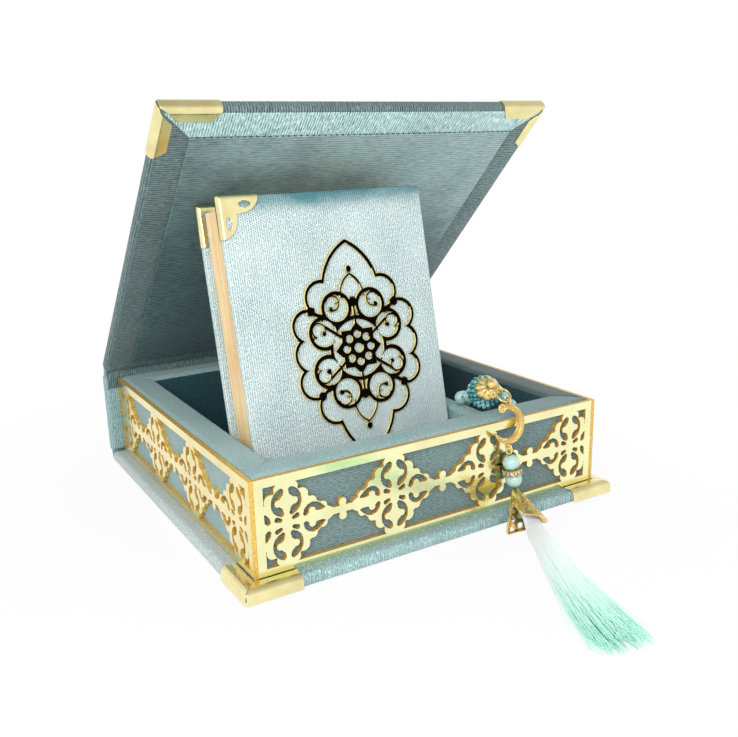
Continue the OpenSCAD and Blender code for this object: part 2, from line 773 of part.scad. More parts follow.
// Shallow flower cap seated on the ball
module ball_cap() {
  petals = 8;
  seat = ball_d / 2 + 0.1;
  mouth = seat * 0.62;
  color(gilt) aim(ball_c, cap_dir)
    difference() {
      rotate_extrude()
        intersection() {
          difference() {
            circle(seat + 1);
            circle(seat);
          }
          translate([0, seat * 0.7]) square([mouth, seat]);
        }
      for (i = [0 : petals - 1])
        rotate(i * 360 / petals) translate([mouth + 0.5, 0, 0]) cylinder(d = 2, h = 2 * seat);
    }
}

// Ring of wire with middle radius r at c, its plane holding d and e
module wire_ring(c, d, e, r) {
  aim(c, cross(d, e)) rotate_extrude() translate([r, 0]) circle(d = wire_d);
}

module cap_bead() {
  color(gilt) {
    translate(cap_bead_c) sphere(d = cap_bead_d);
    aim(cap_bead_c, -cap_dir) cylinder(d = cap_bead_d * 0.45, h = cap_bead_d / 2 + cap_h - 2.1);
    wire_ring(link_top, loop_dir, cross(loop_dir, [1, 0, 0]), loop_r);
  }
}

module link_ring() {
  color(gilt) wire_ring(link_c, link_dir, [1, 0, 0], link_r);
}

// Crescent in the plane of charm_dir and x, opening to the left
module crescent_charm() {
  across = unit(cross(charm_dir, [0, 1, 0]));
  face = unit(cross(across, charm_dir));
  color(gilt) {
    multmatrix([[across[0], -charm_dir[0], face[0], charm_c[0]],
                [across[1], -charm_dir[1], face[1], charm_c[1]],
                [across[2], -charm_dir[2], face[2], charm_c[2]],
                [0, 0, 0, 1]])
      translate([0, 0, -crescent_t / 2]) linear_extrude(crescent_t)
        difference() {
          circle(crescent_r);
          translate([across[0] < 0 ? 3.4 : -3.4, 0.6]) circle(crescent_in_r);
        }
    wire_ring(charm_top, charm_dir, face, loop_r);
    wire_ring(charm_low, charm_dir, face, loop_r);
  }
}

// Wire through the pearls with a loop at its upper end
module drop_pin() {
  start = loop_r - wire_d / 4;
  color(gilt) {
    wire_ring(pin_top, pin_dir, [1, 0, 0], loop_r);
    aim(pin_top + pin_dir * start, pin_dir)
      cylinder(d = wire_d * 0.8, h = norm(cone_tip - pin_top) - start - cone_neck_r * 1.1);
  }
}

module drilled_pearl(c) {
  aim(c, pin_dir)
    difference() {
      sphere(d = drop_pearl_d);
      cylinder(d = wire_d * 0.8 + 2 * pin_fit, h = 2 * drop_pearl_d, center = true);
    }
}

module pearl_upper() { color(pearl) drilled_pearl(pearl_a); }
module pearl_lower() { color(pearl) drilled_pearl(pearl_b); }

module rondelle() {
  color(gilt) aim(rondelle_c, pin_dir)
    rotate_extrude()
      difference() {
        translate([rondelle_bore / 2, -rondelle_h / 2])
          round_rect((rondelle_d - rondelle_bore) / 2, rondelle_h, 0.5);
        translate([rondelle_d / 2 + 0.3, 0]) circle(0.7);
      }
}

// Filigree cone with two long petals round the head of the tassel
module petal_cone() {
  color(gilt) aim(cone_tip, cone_dir)
    difference() {
      rotate_extrude()
        polygon([[cone_neck_r - cone_t, 0], [cone_neck_r, 0], [cone_r, cone_len], [cone_r - cone_t, cone_len]]);
      for (i = [0, 1])
        rotate(i * 180) {
          // Wide gap between the petals
          translate([0, 0, cone_len * 0.36]) rotate([90, 0, 90]) linear_extrude(2 * cone_r)
            polygon([[-cone_r * 0.3, 0], [cone_r * 0.3, 0], [cone_r * 0.88, cone_len * 0.7],
              [-cone_r * 0.88, cone_len * 0.7]]);
          // Pierced holes down the middle of a petal
          for (h = [[0.3, 0.5], [0.46, 0.7], [0.64, 1], [0.83, 1.3]])
            rotate(90) translate([0, 0, cone_len * h[0]]) rotate([0, 90, 0])
              cylinder(r = h[1], h = 2 * cone_r);
        }
    }
}

// Middle line of the tassel from the cone to its end, each with half width and half height
function lying(x, y, w, h) =
  [[cone_tip[0] - x * tassel_len, cone_tip[1] - y * tassel_len, h * tassel_h + rest_gap],
    w * tassel_w / 2, h * tassel_h];
tassel_path = [
  [cone_tip + cone_dir * (cone_len * 0.75), tassel_neck_r + 0.2, tassel_neck_r],
  [cone_tip + cone_dir * (cone_len * 0.95), tassel_neck_r + 0.8, tassel_neck_r],
  lying(0.07, 0.21, 0.38, 0.45),
  lying(0.115, 0.31, 0.47, 0.5),
  lying(0.17, 0.42, 0.58, 0.49),
  lying(0.23, 0.56, 0.72, 0.45),
  lying(0.285, 0.7, 0.85, 0.4),
  lying(0.325, 0.83, 0.95, 0.36),
  lying(0.36, 0.95, 1, 0.31)];
tassel_sides = 12;
function path_dir(i) =
  unit(tassel_path[min(i + 1, len(tassel_path) - 1)][0] - tassel_path[max(i - 1, 0)][0]);
function path_side(i) = unit(cross([0, 0, 1], path_dir(i)));
tassel_points = [for (i = [0 : len(tassel_path) - 1], k = [0 : tassel_sides - 1])
  let (a = k * 360 / tassel_sides, s = path_side(i), u = cross(path_dir(i), s))
    tassel_path[i][0] + s * tassel_path[i][1] * cos(a) + u * tassel_path[i][2] * sin(a)];
tassel_rings = len(tassel_path);
tassel_skin = [for (i = [0 : tassel_rings - 2], k = [0 : tassel_sides - 1])
  let (a = i * tassel_sides + k, b = i * tassel_sides + (k + 1) % tassel_sides)
    each [[a, a + tassel_sides, b], [b, a + tassel_sides, b + tassel_sides]]];
tassel_near = [for (k = [1 : tassel_sides - 2]) [0, k, k + 1]];
tassel_far = let (o = (tassel_rings - 1) * tassel_sides) [for (k = [1 : tassel_sides - 2]) [o, o + k + 1, o + k]];

module tassel_skirt() {
  color(mint) polyhedron(tassel_points, concat(tassel_skin, tassel_near, tassel_far));
}

// Bound neck of the tassel inside the cone
module tassel_neck() {
  color(mint) aim(cone_tip + cone_dir * (cone_len * 0.45), cone_dir)
    cylinder(r = tassel_neck_r, h = cone_len * 0.3 - 0.1);
}

base_board();
base_corner_left();
base_corner_right();
tray_front_wall();
tray_rear_wall();
tray_left_wall();
tray_right_wall();
book_floor();
bead_floor();
divider();
front_lattice();
left_lattice();
right_lattice();
low_fold_cloth();
spine_board();
high_fold_cloth();
lid_board();
lid_lining();
lid_corner_left();
lid_corner_right();
book_back_cover();
page_block();
book_spine();
book_front_cover();
front_corner_head();
front_corner_foot();
back_corner_head();
back_corner_foot();
medallion();
pearl_strand();
bead_ball();
ball_cap();
cap_bead();
link_ring();
crescent_charm();
drop_pin();
pearl_upper();
rondelle();
pearl_lower();
petal_cone();
tassel_neck();
tassel_skirt();
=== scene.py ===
"""Quran box: a cloth-covered case with gilt lattices, a small book and a pearl string with a tassel.

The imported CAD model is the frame, in metres. The lattices and the wire findings keep their CAD shape and get
their finish here. Cloth, corners, book, beads and tassel are surfaces worked out with numpy in millimetres,
in their place in the frame.
"""

import json
import math

import bmesh
import bpy
import numpy as np
from bpy.props import FloatProperty, FloatVectorProperty, IntProperty, PointerProperty
from mathutils import Matrix, Vector


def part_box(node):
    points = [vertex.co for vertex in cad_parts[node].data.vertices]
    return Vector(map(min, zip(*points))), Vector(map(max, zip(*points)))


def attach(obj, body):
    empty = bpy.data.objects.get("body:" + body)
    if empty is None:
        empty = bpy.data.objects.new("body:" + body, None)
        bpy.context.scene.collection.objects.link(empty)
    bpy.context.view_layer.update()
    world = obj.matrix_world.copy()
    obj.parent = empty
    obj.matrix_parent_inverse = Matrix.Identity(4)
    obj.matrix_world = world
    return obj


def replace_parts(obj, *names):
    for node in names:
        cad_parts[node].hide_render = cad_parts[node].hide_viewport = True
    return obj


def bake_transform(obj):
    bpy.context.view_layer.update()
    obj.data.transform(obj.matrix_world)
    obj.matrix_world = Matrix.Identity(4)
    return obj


bl_info = {
    "name": "Quran box",
    "version": (1, 0, 0),
    "blender": (4, 5, 0),
    "location": "View3D > Sidebar > Quran box",
    "description": "Dresses the packed model of a cloth-covered quran box",
    "category": "Object",
}

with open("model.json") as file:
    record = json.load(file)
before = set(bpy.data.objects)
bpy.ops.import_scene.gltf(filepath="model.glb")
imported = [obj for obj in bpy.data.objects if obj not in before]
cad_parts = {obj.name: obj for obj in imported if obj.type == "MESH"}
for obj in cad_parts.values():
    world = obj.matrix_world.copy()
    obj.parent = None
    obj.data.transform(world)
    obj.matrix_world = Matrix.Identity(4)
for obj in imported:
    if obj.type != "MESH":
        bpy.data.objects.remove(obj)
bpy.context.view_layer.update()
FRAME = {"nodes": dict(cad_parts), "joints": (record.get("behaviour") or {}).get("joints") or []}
MM = 0.001
JOINTS = {joint["name"]: joint for joint in FRAME["joints"]}


def node_box(name):
    """Lowest and highest corner of a CAD node, in millimetres."""
    low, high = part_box(name)
    return np.array(low) / MM, np.array(high) / MM


def node_centre(name):
    """Middle of a CAD node's box, in millimetres."""
    low, high = node_box(name)
    return (low + high) / 2


def unit(v):
    """Vectors of length one."""
    v = np.asarray(v, float)
    return v / np.linalg.norm(v, axis=-1, keepdims=True)


def linear(red, green, blue):
    """Linear colour of a display colour in 0 to 255."""
    c = np.array([red, green, blue]) / 255
    return tuple(float(x) for x in np.where(c <= 0.04045, c / 12.92, ((c + 0.055) / 1.055) ** 2.4))


# Places that the frame gives, in millimetres
BASE_LOW, BASE_HIGH = node_box("base_board")
SPINE_LOW, SPINE_HIGH = node_box("spine_board")
TRAY_LOW = node_box("tray_left_wall")[0]
TRAY_LOW[1] = node_box("tray_front_wall")[0][1]
TRAY_HIGH = node_box("tray_right_wall")[1]
TRAY_HIGH[1] = node_box("tray_rear_wall")[1][1]
DIVIDER_LOW, DIVIDER_HIGH = node_box("divider")
FLOOR_TOP = node_box("book_floor")[1][2]
LOW_FOLD = np.array(JOINTS["spine_fold"]["pos_m"]) / MM
HIGH_FOLD = np.array(JOINTS["lid_open"]["pos_m"]) / MM
BOOK_FOOT = np.array(JOINTS["book_tip"]["pos_m"]) / MM
BALL = node_centre("bead_ball")
PEARL_UPPER = node_centre("pearl_upper")
PEARL_LOWER = node_centre("pearl_lower")
RONDELLE = node_centre("rondelle")

# Sizes that the frame doesn't hold as a box, in millimetres
BASE_EDGE_R = 2.6
LID_LEAN = math.radians(44.9007)
LID_LENGTH = 174.5
LID_T = 5.5
LID_EDGE_R = 2.0
LINING_HALF, LINING_T, LINING_SUNK = 77.5, 0.9, 0.8
LINING_MIDDLE = 83.5
TURN_IN_W, TURN_IN_START, TURN_IN_SEAM = 12.0, 1.6, 13.9
FOLD_REACH = 2.9
FOLD_T = 0.5
WALL_T = 13.0
RIM_R = 2.5
MITRE_DEPTH, MITRE_W = 0.35, 0.7
DIVIDER_GROOVE, DIVIDER_ROUND = 0.35, 1.2
GILT_T, GILT_PROUD, GILT_SOFT = 0.5, 0.32, 0.12
BASE_LEG, LID_LEG = 23.0, 24.0
EAR_LEG, EAR_W, EAR_PROUD = 17.0, 7.2, 0.28
BOOK_LEAN = math.radians(77.5)
BOOK_LEFT = -68.0
BOOK_W, BOOK_H, COVER_T, BOOK_T = 95.0, 130.0, 3.0, 26.0
COVER_FOOT_R = 1.2
PAGES_LOW = np.array([3.0, 3.0, 3.0])
PAGES_HIGH = np.array([92.0, 127.0, 22.6])
BALL_D = 14.6
SEED_ROW_DEG = 15.2
SEED_PITCH = 1.95
SEED_LOOP, SEED_HALF, SEED_THICK = 0.62, 0.72, 0.42
CAP_T = 0.35
CAP_BEAD_D = 4.6
CAP_DIR = unit([-0.31, -0.78, 0.55])
CAP_BEAD = np.array([30.14, -74.46, 59.44])
CHARM = np.array([32.27, -83.70, 43.82])
CHARM_DIR = unit([-0.1, -0.16, -0.98])
CRESCENT_R, CRESCENT_BAR, LOOP_R = 8.2, 1.35, 1.5
CRESCENT_BELLY = math.radians(-10)
WIRE_R, EYE_WIRE_R, GRAIN_R = 0.45, 0.6, 0.36
DROP_PEARL_D = 7.2
THREAD_D = 0.7
PIN_DIR = unit(PEARL_LOWER - PEARL_UPPER)
CONE_TIP = np.array([34.57, -86.49, 14.24])
CONE_DIR = unit([-0.18, -0.83, -0.47])
CONE_LEN, CONE_NECK_R, CONE_R = 18.5, 1.6, 8.8
PETAL_T, PETAL_RIM_R, PETAL_EDGE_R = 0.45, 0.32, 0.36
PETAL_SIDE = unit([0.42, -0.5, 0.68])
PETAL_DIR = unit([-0.32, -0.78, -0.53])


# Settings that a user would change


class ClothSettings(bpy.types.PropertyGroup):
    """Cloth of the case and the tray"""

    rib_pitch: FloatProperty(
        name="Rib pitch", description="Distance between the ribs of the cloth, in millimetres",
        default=0.95, min=0.3)
    light: FloatVectorProperty(
        name="Light thread", description="Colour of the shining thread", subtype="COLOR",
        default=linear(152, 178, 176))
    dark: FloatVectorProperty(
        name="Ground thread", description="Colour of the thread behind it", subtype="COLOR",
        default=linear(80, 114, 116))
    # Painted sheen: the base's side ledges get this lighter, greyer colour where the cloth's sheen shows
    nap: FloatVectorProperty(
        name="Bright nap", description="Colour where the cloth's nap shines", subtype="COLOR",
        default=linear(190, 202, 199))
    lining: FloatVectorProperty(
        name="Floor cloth", description="Colour of the dark cloth in the tray", subtype="COLOR",
        default=linear(30, 56, 62))


class GiltSettings(bpy.types.PropertyGroup):
    """Metals of the corners, lattices, medallion and findings"""

    metal: FloatVectorProperty(
        name="Gilt metal", description="Colour of the pressed corners and the side lattices", subtype="COLOR",
        default=linear(252, 236, 176))
    finding: FloatVectorProperty(
        name="Findings", description="Colour of the cap, charm, pin and cone", subtype="COLOR",
        default=linear(250, 222, 150))
    mirror: FloatVectorProperty(
        name="Mirror face", description="Colour of the front lattice's mirror face", subtype="COLOR",
        default=linear(255, 251, 194))
    copper: FloatVectorProperty(
        name="Cut edge", description="Colour of the lattices' cut edge", subtype="COLOR",
        default=linear(250, 196, 96))
    # Painted reflection: the medallion's gilt mirror face gets this near-black colour for the dark
    # surroundings it reflects
    painted_dark_reflection: FloatVectorProperty(
        name="Smoked face", description="Colour of the medallion's dark mirror face", subtype="COLOR",
        default=linear(13, 11, 8))


class BookSettings(bpy.types.PropertyGroup):
    """Covers and leaves of the book"""

    light: FloatVectorProperty(
        name="Cover thread", description="Colour of the covers' shining thread", subtype="COLOR",
        default=linear(222, 234, 233))
    dark: FloatVectorProperty(
        name="Cover ground", description="Colour of the covers' ground thread", subtype="COLOR",
        default=linear(94, 138, 138))
    # Painted shade: this colour is laid in a band along the front cover's head, where the padded edge turns
    # away from the light
    brushed_and_painted_light: FloatVectorProperty(
        name="Brushed cloth", description="Colour where the cover's nap lies the other way", subtype="COLOR",
        default=linear(78, 130, 138))
    page_light: FloatVectorProperty(
        name="Page edge", description="Colour of the gilt page edges", subtype="COLOR",
        default=linear(240, 222, 178))
    page_dark: FloatVectorProperty(
        name="Page shadow", description="Colour between the leaves", subtype="COLOR",
        default=linear(200, 158, 104))
    leaves: IntProperty(
        name="Leaves", description="Leaves that show at the page edges", default=64, min=8, max=120)


class BeadSettings(bpy.types.PropertyGroup):
    """Pearls and seed beads"""

    pearl: FloatVectorProperty(
        name="Pearl", description="Colour of the pearls", subtype="COLOR", default=linear(186, 226, 218))
    pearl_d: FloatProperty(
        name="Pearl size", description="Diameter of a strung pearl, in millimetres", default=6.0, min=3.0)
    pearl_pitch: FloatProperty(
        name="Pearl pitch", description="Least distance between strung pearls, in millimetres",
        default=6.4, min=3.0)
    seed: FloatVectorProperty(
        name="Seed bead", description="Colour of the glass seed beads", subtype="COLOR",
        default=linear(70, 152, 158))
    seed_light: FloatVectorProperty(
        name="Pale seed bead", description="Colour of the palest seed beads", subtype="COLOR",
        default=linear(146, 204, 206))


class TasselSettings(bpy.types.PropertyGroup):
    """Silk of the tassel"""

    strands: IntProperty(
        name="Strands", description="Threads in the tassel", default=820, min=50, max=1100)
    length: FloatProperty(
        name="Length", description="Length of the tassel's skirt, in millimetres", default=100.0, min=40.0)
    width: FloatProperty(
        name="Width", description="Width of the tassel's end, in millimetres", default=17.0, min=8.0)
    height: FloatProperty(
        name="Height", description="Thickness of the tassel where it lies, in millimetres",
        default=9.0, min=3.0)
    light: FloatVectorProperty(
        name="Silk", description="Colour of the silk near the neck", subtype="COLOR",
        default=linear(255, 255, 255))
    dark: FloatVectorProperty(
        name="Silk ends", description="Colour of the silk at the ends", subtype="COLOR",
        default=linear(190, 254, 234))


class StageSettings(bpy.types.PropertyGroup):
    """Camera and light"""

    azimuth: FloatProperty(
        name="Azimuth", description="Turn of the camera from the front", subtype="ANGLE", default=-0.542106)
    elevation: FloatProperty(
        name="Elevation", description="How far the camera looks down", subtype="ANGLE", default=0.262680)
    roll: FloatProperty(
        name="Roll", description="Tilt of the picture", subtype="ANGLE", default=-0.0249100)
    place: FloatVectorProperty(
        name="Camera", description="Place of the camera", subtype="TRANSLATION", unit="LENGTH",
        default=(-0.191166, -0.342456, 0.160113))
    focal: FloatProperty(
        name="Focal length", description="Focal length in picture widths", default=846.98 / 738, min=0.2)
    key: FloatProperty(
        name="Key light", description="Power of the large soft lamp, in watts", default=1.95, min=0.0)
    fill: FloatProperty(
        name="Fill light", description="Power of the low fill lamp, in watts", default=0.4, min=0.0)
    side: FloatProperty(
        name="Side light", description="Power of the low lamp beside the lid, in watts", default=0.6, min=0.0)
    glint: FloatProperty(
        name="Glint", description="Power of the small lamp that metal and pearls show, in watts",
        default=0.6, min=0.0)
    ambient: FloatProperty(
        name="Ambient", description="Strength of the light from all round", default=0.5, min=0.0)


# Mesh helpers


def grid_faces(rows, cols, wrap_rows=False, wrap_cols=False):
    """Quads of a grid of points, counted row by row, joined round where a direction wraps."""
    last_row, last_col = rows - (not wrap_rows), cols - (not wrap_cols)
    r, c = np.meshgrid(np.arange(last_row), np.arange(last_col), indexing="ij")
    here, below = r * cols, (r + 1) % rows * cols
    c_next = (c + 1) % cols
    return np.stack([here + c, here + c_next, below + c_next, below + c], -1).reshape(-1, 4)


def repeat_faces(faces, points_each, count):
    """The same quads for each of count copies that follow each other in the list of points."""
    return (faces[None] + np.arange(count)[:, None, None] * points_each).reshape(-1, faces.shape[1])


def cell_means(values):
    """Mean of the four corners of each cell of a grid."""
    return (values[:-1, :-1] + values[1:, 1:] + values[:-1, 1:] + values[1:, :-1]) / 4


def make_piece(name, points, faces, material, body=None, uv=None, tone=None, crease=38.0,
               weld=0.002, finishes=()):
    """Mesh object of points in millimetres: doubles merged, normals outwards and edges creased by angle.

    uv is one pair per point, in millimetres of cloth, and tone one number per point for the material to read.
    finishes are further materials, each with a test of the faces' middles and normals that says where it is.
    """
    points = np.asarray(points, float).reshape(-1, 3)
    mesh = bpy.data.meshes.new(name)
    mesh.vertices.add(len(points))
    mesh.vertices.foreach_set("co", (points * MM).ravel())
    mesh.loops.add(faces.size)
    mesh.loops.foreach_set("vertex_index", faces.ravel())
    mesh.polygons.add(len(faces))
    mesh.polygons.foreach_set("loop_start", np.arange(0, faces.size, faces.shape[1]))
    mesh.update(calc_edges=True)
    if uv is not None:
        layer = mesh.uv_layers.new(name="cloth")
        layer.data.foreach_set("uv", np.asarray(uv, float).reshape(-1, 2)[faces.ravel()].ravel())
    if tone is not None:
        layer = mesh.attributes.new("tone", "FLOAT", "POINT")
        layer.data.foreach_set("value", np.asarray(tone, np.float32).ravel())
    work = bmesh.new()
    work.from_mesh(mesh)
    bmesh.ops.remove_doubles(work, verts=work.verts, dist=weld * MM)
    bmesh.ops.dissolve_degenerate(work, edges=work.edges, dist=1e-7)
    bmesh.ops.recalc_face_normals(work, faces=work.faces)
    work.to_mesh(mesh)
    work.free()
    count = len(mesh.polygons)
    mesh.polygons.foreach_set("use_smooth", np.ones(count, bool))
    mesh.set_sharp_from_angle(angle=math.radians(crease))
    mesh.materials.append(material)
    middle, normal = np.empty(count * 3), np.empty(count * 3)
    mesh.polygons.foreach_get("center", middle)
    mesh.polygons.foreach_get("normal", normal)
    slots = np.zeros(count, int)
    for number, (other, test) in enumerate(finishes, 1):
        mesh.materials.append(other)
        slots[test(middle.reshape(-1, 3) / MM, normal.reshape(-1, 3))] = number
    mesh.polygons.foreach_set("material_index", slots)
    piece = bpy.data.objects.new(name, mesh)
    bpy.context.scene.collection.objects.link(piece)
    if body:
        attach(piece, body)
    return piece


def thicken(piece, label, thickness):
    """Gives a surface its thickness in millimetres, half to each side."""
    wall = piece.modifiers.new(label, "SOLIDIFY")
    wall.thickness = thickness * MM
    wall.offset = 0.0


def break_edges(piece, label, width, segments):
    """Breaks the edges sharper than 50 degrees, by a width in millimetres."""
    edge = piece.modifiers.new(label, "BEVEL")
    edge.width = width * MM
    edge.segments = segments
    edge.limit_method = "ANGLE"
    edge.angle_limit = math.radians(50)
    return edge


def ring_plan(half_x, half_y, corner, inset, side_steps, corner_steps):
    """Rounded rectangle drawn in by each inset: rows of points in plan.

    A corner is an arc of radius corner less inset about its own centre, and a point once the inset is larger.
    """
    arc = np.linspace(0, math.pi / 2, corner_steps + 1)
    step = np.linspace(0, 1, side_steps + 1)[1:-1]
    quarter = np.arange(4)[:, None]
    angle = [quarter * math.pi / 2 + arc, (quarter + 1) * math.pi / 2 + 0 * step[None]]
    angle = np.concatenate(angle, 1).ravel()

    def along(signs):
        """Signs of the four corners, held over each arc and led on along each side."""
        sign, after = np.array(signs)[:, None], np.roll(signs, -1)[:, None]
        return np.concatenate([sign + 0 * arc, sign * (1 - step) + after * step], 1).ravel()

    inset = np.asarray(inset, float)[:, None]
    middle = np.maximum(corner, inset)
    x = along([1.0, -1.0, -1.0, 1.0]) * (half_x - middle) + (middle - inset) * np.cos(angle)
    y = along([1.0, 1.0, -1.0, -1.0]) * (half_y - middle) + (middle - inset) * np.sin(angle)
    return np.stack([x, y], -1)


def covered_board(half_x, half_y, thick, edge, corner, side_steps=24, face_steps=8, arc_steps=5):
    """Cloth-covered board: rounded rectangles from the middle of the top, over the edge, to the middle below.

    Inset and height follow a quarter circle at each edge. The cloth's own coordinates unroll over the edge.
    """
    deep = min(half_x, half_y)
    turn = np.linspace(0, math.pi / 2, arc_steps + 1)
    face = np.linspace(deep, edge, face_steps + 1)[:-1]
    inset = np.concatenate([face, edge * (1 - np.sin(turn)), [0.0]])
    height = np.concatenate([np.full(face_steps, thick), thick - edge + edge * np.cos(turn), [thick / 2]])
    run = np.concatenate([face, edge - edge * turn, [edge - edge * math.pi / 2 - thick / 2 + edge]])
    inset = np.concatenate([inset, inset[::-1]])
    height = np.concatenate([height, thick - height[::-1]])
    run = np.concatenate([run, run[::-1]])
    plan = ring_plan(half_x, half_y, corner, inset, side_steps, 4)
    rise = np.broadcast_to(height[:, None, None], plan.shape[:2] + (1,))
    uv = ring_plan(half_x, half_y, corner, run, side_steps, 4)
    return np.concatenate([plan, rise], -1), grid_faces(*plan.shape[:2], wrap_cols=True), uv


def sweep_along(profile, path_values):
    """Closed profile of two coordinates carried along a third: profile points, then the value along the path.

    The first and last rows shrink to the profile's middle, which closes the ends.
    """
    middle = np.broadcast_to(profile.mean(0), profile.shape)
    rows = np.array([middle] + [profile] * len(path_values) + [middle])
    values = np.concatenate([path_values[:1], path_values, path_values[-1:]])
    along = np.broadcast_to(values[:, None, None], rows.shape[:2] + (1,))
    return np.concatenate([rows, along], -1)


def run_length(points):
    """Distance along a line of points, from its first."""
    step = np.linalg.norm(np.diff(points, axis=0), axis=1)
    return np.concatenate([[0.0], np.cumsum(step)])


def even_steps(points, count):
    """The same line with count points at equal distances."""
    run = run_length(points)
    want = np.linspace(0, run[-1], count)
    return np.stack([np.interp(want, run, points[:, k]) for k in range(points.shape[1])], -1)


def smooth_line(knots, per_span):
    """Catmull-Rom curve through the knots: each span is a cubic of its four nearest knots."""
    q = np.asarray(knots, float)
    a = np.concatenate([q[:1], q[:-2]])
    b, c = q[:-1], q[1:]
    d = np.concatenate([q[2:], q[-1:]])
    t = np.linspace(0, 1, per_span, endpoint=False)[None, :, None]
    a, b, c, d = (k[:, None] for k in (a, b, c, d))
    curve = 2 * b + (c - a) * t + (2 * a - 5 * b + 4 * c - d) * t**2 + (3 * b - a - 3 * c + d) * t**3
    return np.concatenate([0.5 * curve.reshape(-1, q.shape[1]), q[-1:]])


def tube(path, radius, sides, close=False):
    """Round tube: a circle in the plane across the path at each of its points, its ends drawn to a point.

    Several paths of equal count may come in one array. radius is one number or one per point.
    """
    path = np.asarray(path, float)
    path = path[None] if path.ndim == 2 else path
    radius = np.broadcast_to(np.asarray(radius, float), path.shape[:2])
    if close:
        ahead = unit(np.roll(path, -1, 1) - np.roll(path, 1, 1))
    else:
        ahead = unit(np.gradient(path, axis=1))
        path, ahead = (np.concatenate([k[:, :1], k, k[:, -1:]], 1) for k in (path, ahead))
        radius = np.concatenate([0 * radius[:, :1], radius, 0 * radius[:, :1]], 1)
    across = unit(np.cross(ahead, np.array([0.31, 0.42, 0.853])))
    over = np.cross(ahead, across)
    turn = np.linspace(0, 2 * math.pi, sides, endpoint=False)[None, None, :, None]
    ring = np.cos(turn) * across[:, :, None] + np.sin(turn) * over[:, :, None]
    points = path[:, :, None] + radius[:, :, None, None] * ring
    faces = grid_faces(path.shape[1], sides, wrap_rows=close, wrap_cols=True)
    return points.reshape(-1, 3), repeat_faces(faces, path.shape[1] * sides, len(path))


def aim(local, centre, axis, beside=(0.263, 0.115, 0.958)):
    """Local points set at each centre with their third coordinate along each axis: rows of copies.

    The first coordinate is at right angles to the axis and to the direction beside.
    """
    axis = np.atleast_2d(unit(axis))
    centre = np.atleast_2d(np.asarray(centre, float))
    across = unit(np.cross(axis, np.array(beside)))
    over = np.cross(axis, across)
    flat = np.asarray(local, float).reshape(-1, 3)
    x, y, z = (flat[None, :, k:k + 1] for k in range(3))
    return centre[:, None] + x * across[:, None] + y * over[:, None] + z * axis[:, None]


def revolve(profile, sides, ripple=1.0):
    """Closed profile of radius and height turned about the third axis.

    Points are in rows of the profile and columns of the turn. The radius may ripple, by a factor per point.
    """
    profile = np.asarray(profile, float)
    turn = np.linspace(0, 2 * math.pi, sides, endpoint=False)
    radius = profile[:, :1] * ripple
    points = np.stack([radius * np.cos(turn), radius * np.sin(turn), profile[:, 1:] + 0 * turn], -1)
    return points, grid_faces(len(profile), sides, wrap_rows=True, wrap_cols=True)


def polar(radius, tilt, turn):
    """Points at a distance, a tilt from the third axis and a turn about it."""
    out = radius * np.sin(tilt)
    return np.stack([out * np.cos(turn), out * np.sin(turn), radius * np.cos(tilt) + 0 * turn], -1)


def drilled_pearl(diameter, bore, rows, sides):
    """Pearl with a drilled hole: an arc of a circle from mouth to mouth of the hole, closed down the hole."""
    r = diameter / 2
    start = math.asin(bore / r)
    angle = np.linspace(start, math.pi - start, rows)
    outer = np.stack([r * np.sin(angle), r * np.cos(angle)], -1)
    lip = np.array([[bore * 0.8, -r * 0.9], [bore * 0.8, r * 0.9]])
    return revolve(np.concatenate([outer, lip]), sides)


def lid_place(p):
    """Frame place of lid coordinates: across, from the fold to the front edge, out from the inner face."""
    p = np.asarray(p, float)
    y, z = p[..., 1] + FOLD_REACH, p[..., 2] - LID_T / 2
    c, s = math.cos(LID_LEAN), math.sin(LID_LEAN)
    return np.stack([-p[..., 0], HIGH_FOLD[1] - y * c + z * s, HIGH_FOLD[2] + y * s + z * c], -1)


def book_place(p):
    """Frame place of book coordinates: from fore-edge to spine, foot to head, back cover to front cover."""
    p = np.asarray(p, float)
    y, z = p[..., 1] - COVER_FOOT_R, p[..., 2] - COVER_FOOT_R
    c, s = math.cos(BOOK_LEAN), math.sin(BOOK_LEAN)
    return np.stack([BOOK_LEFT + p[..., 0], BOOK_FOOT[1] + y * c - z * s, BOOK_FOOT[2] + y * s + z * c], -1)


# Material helpers


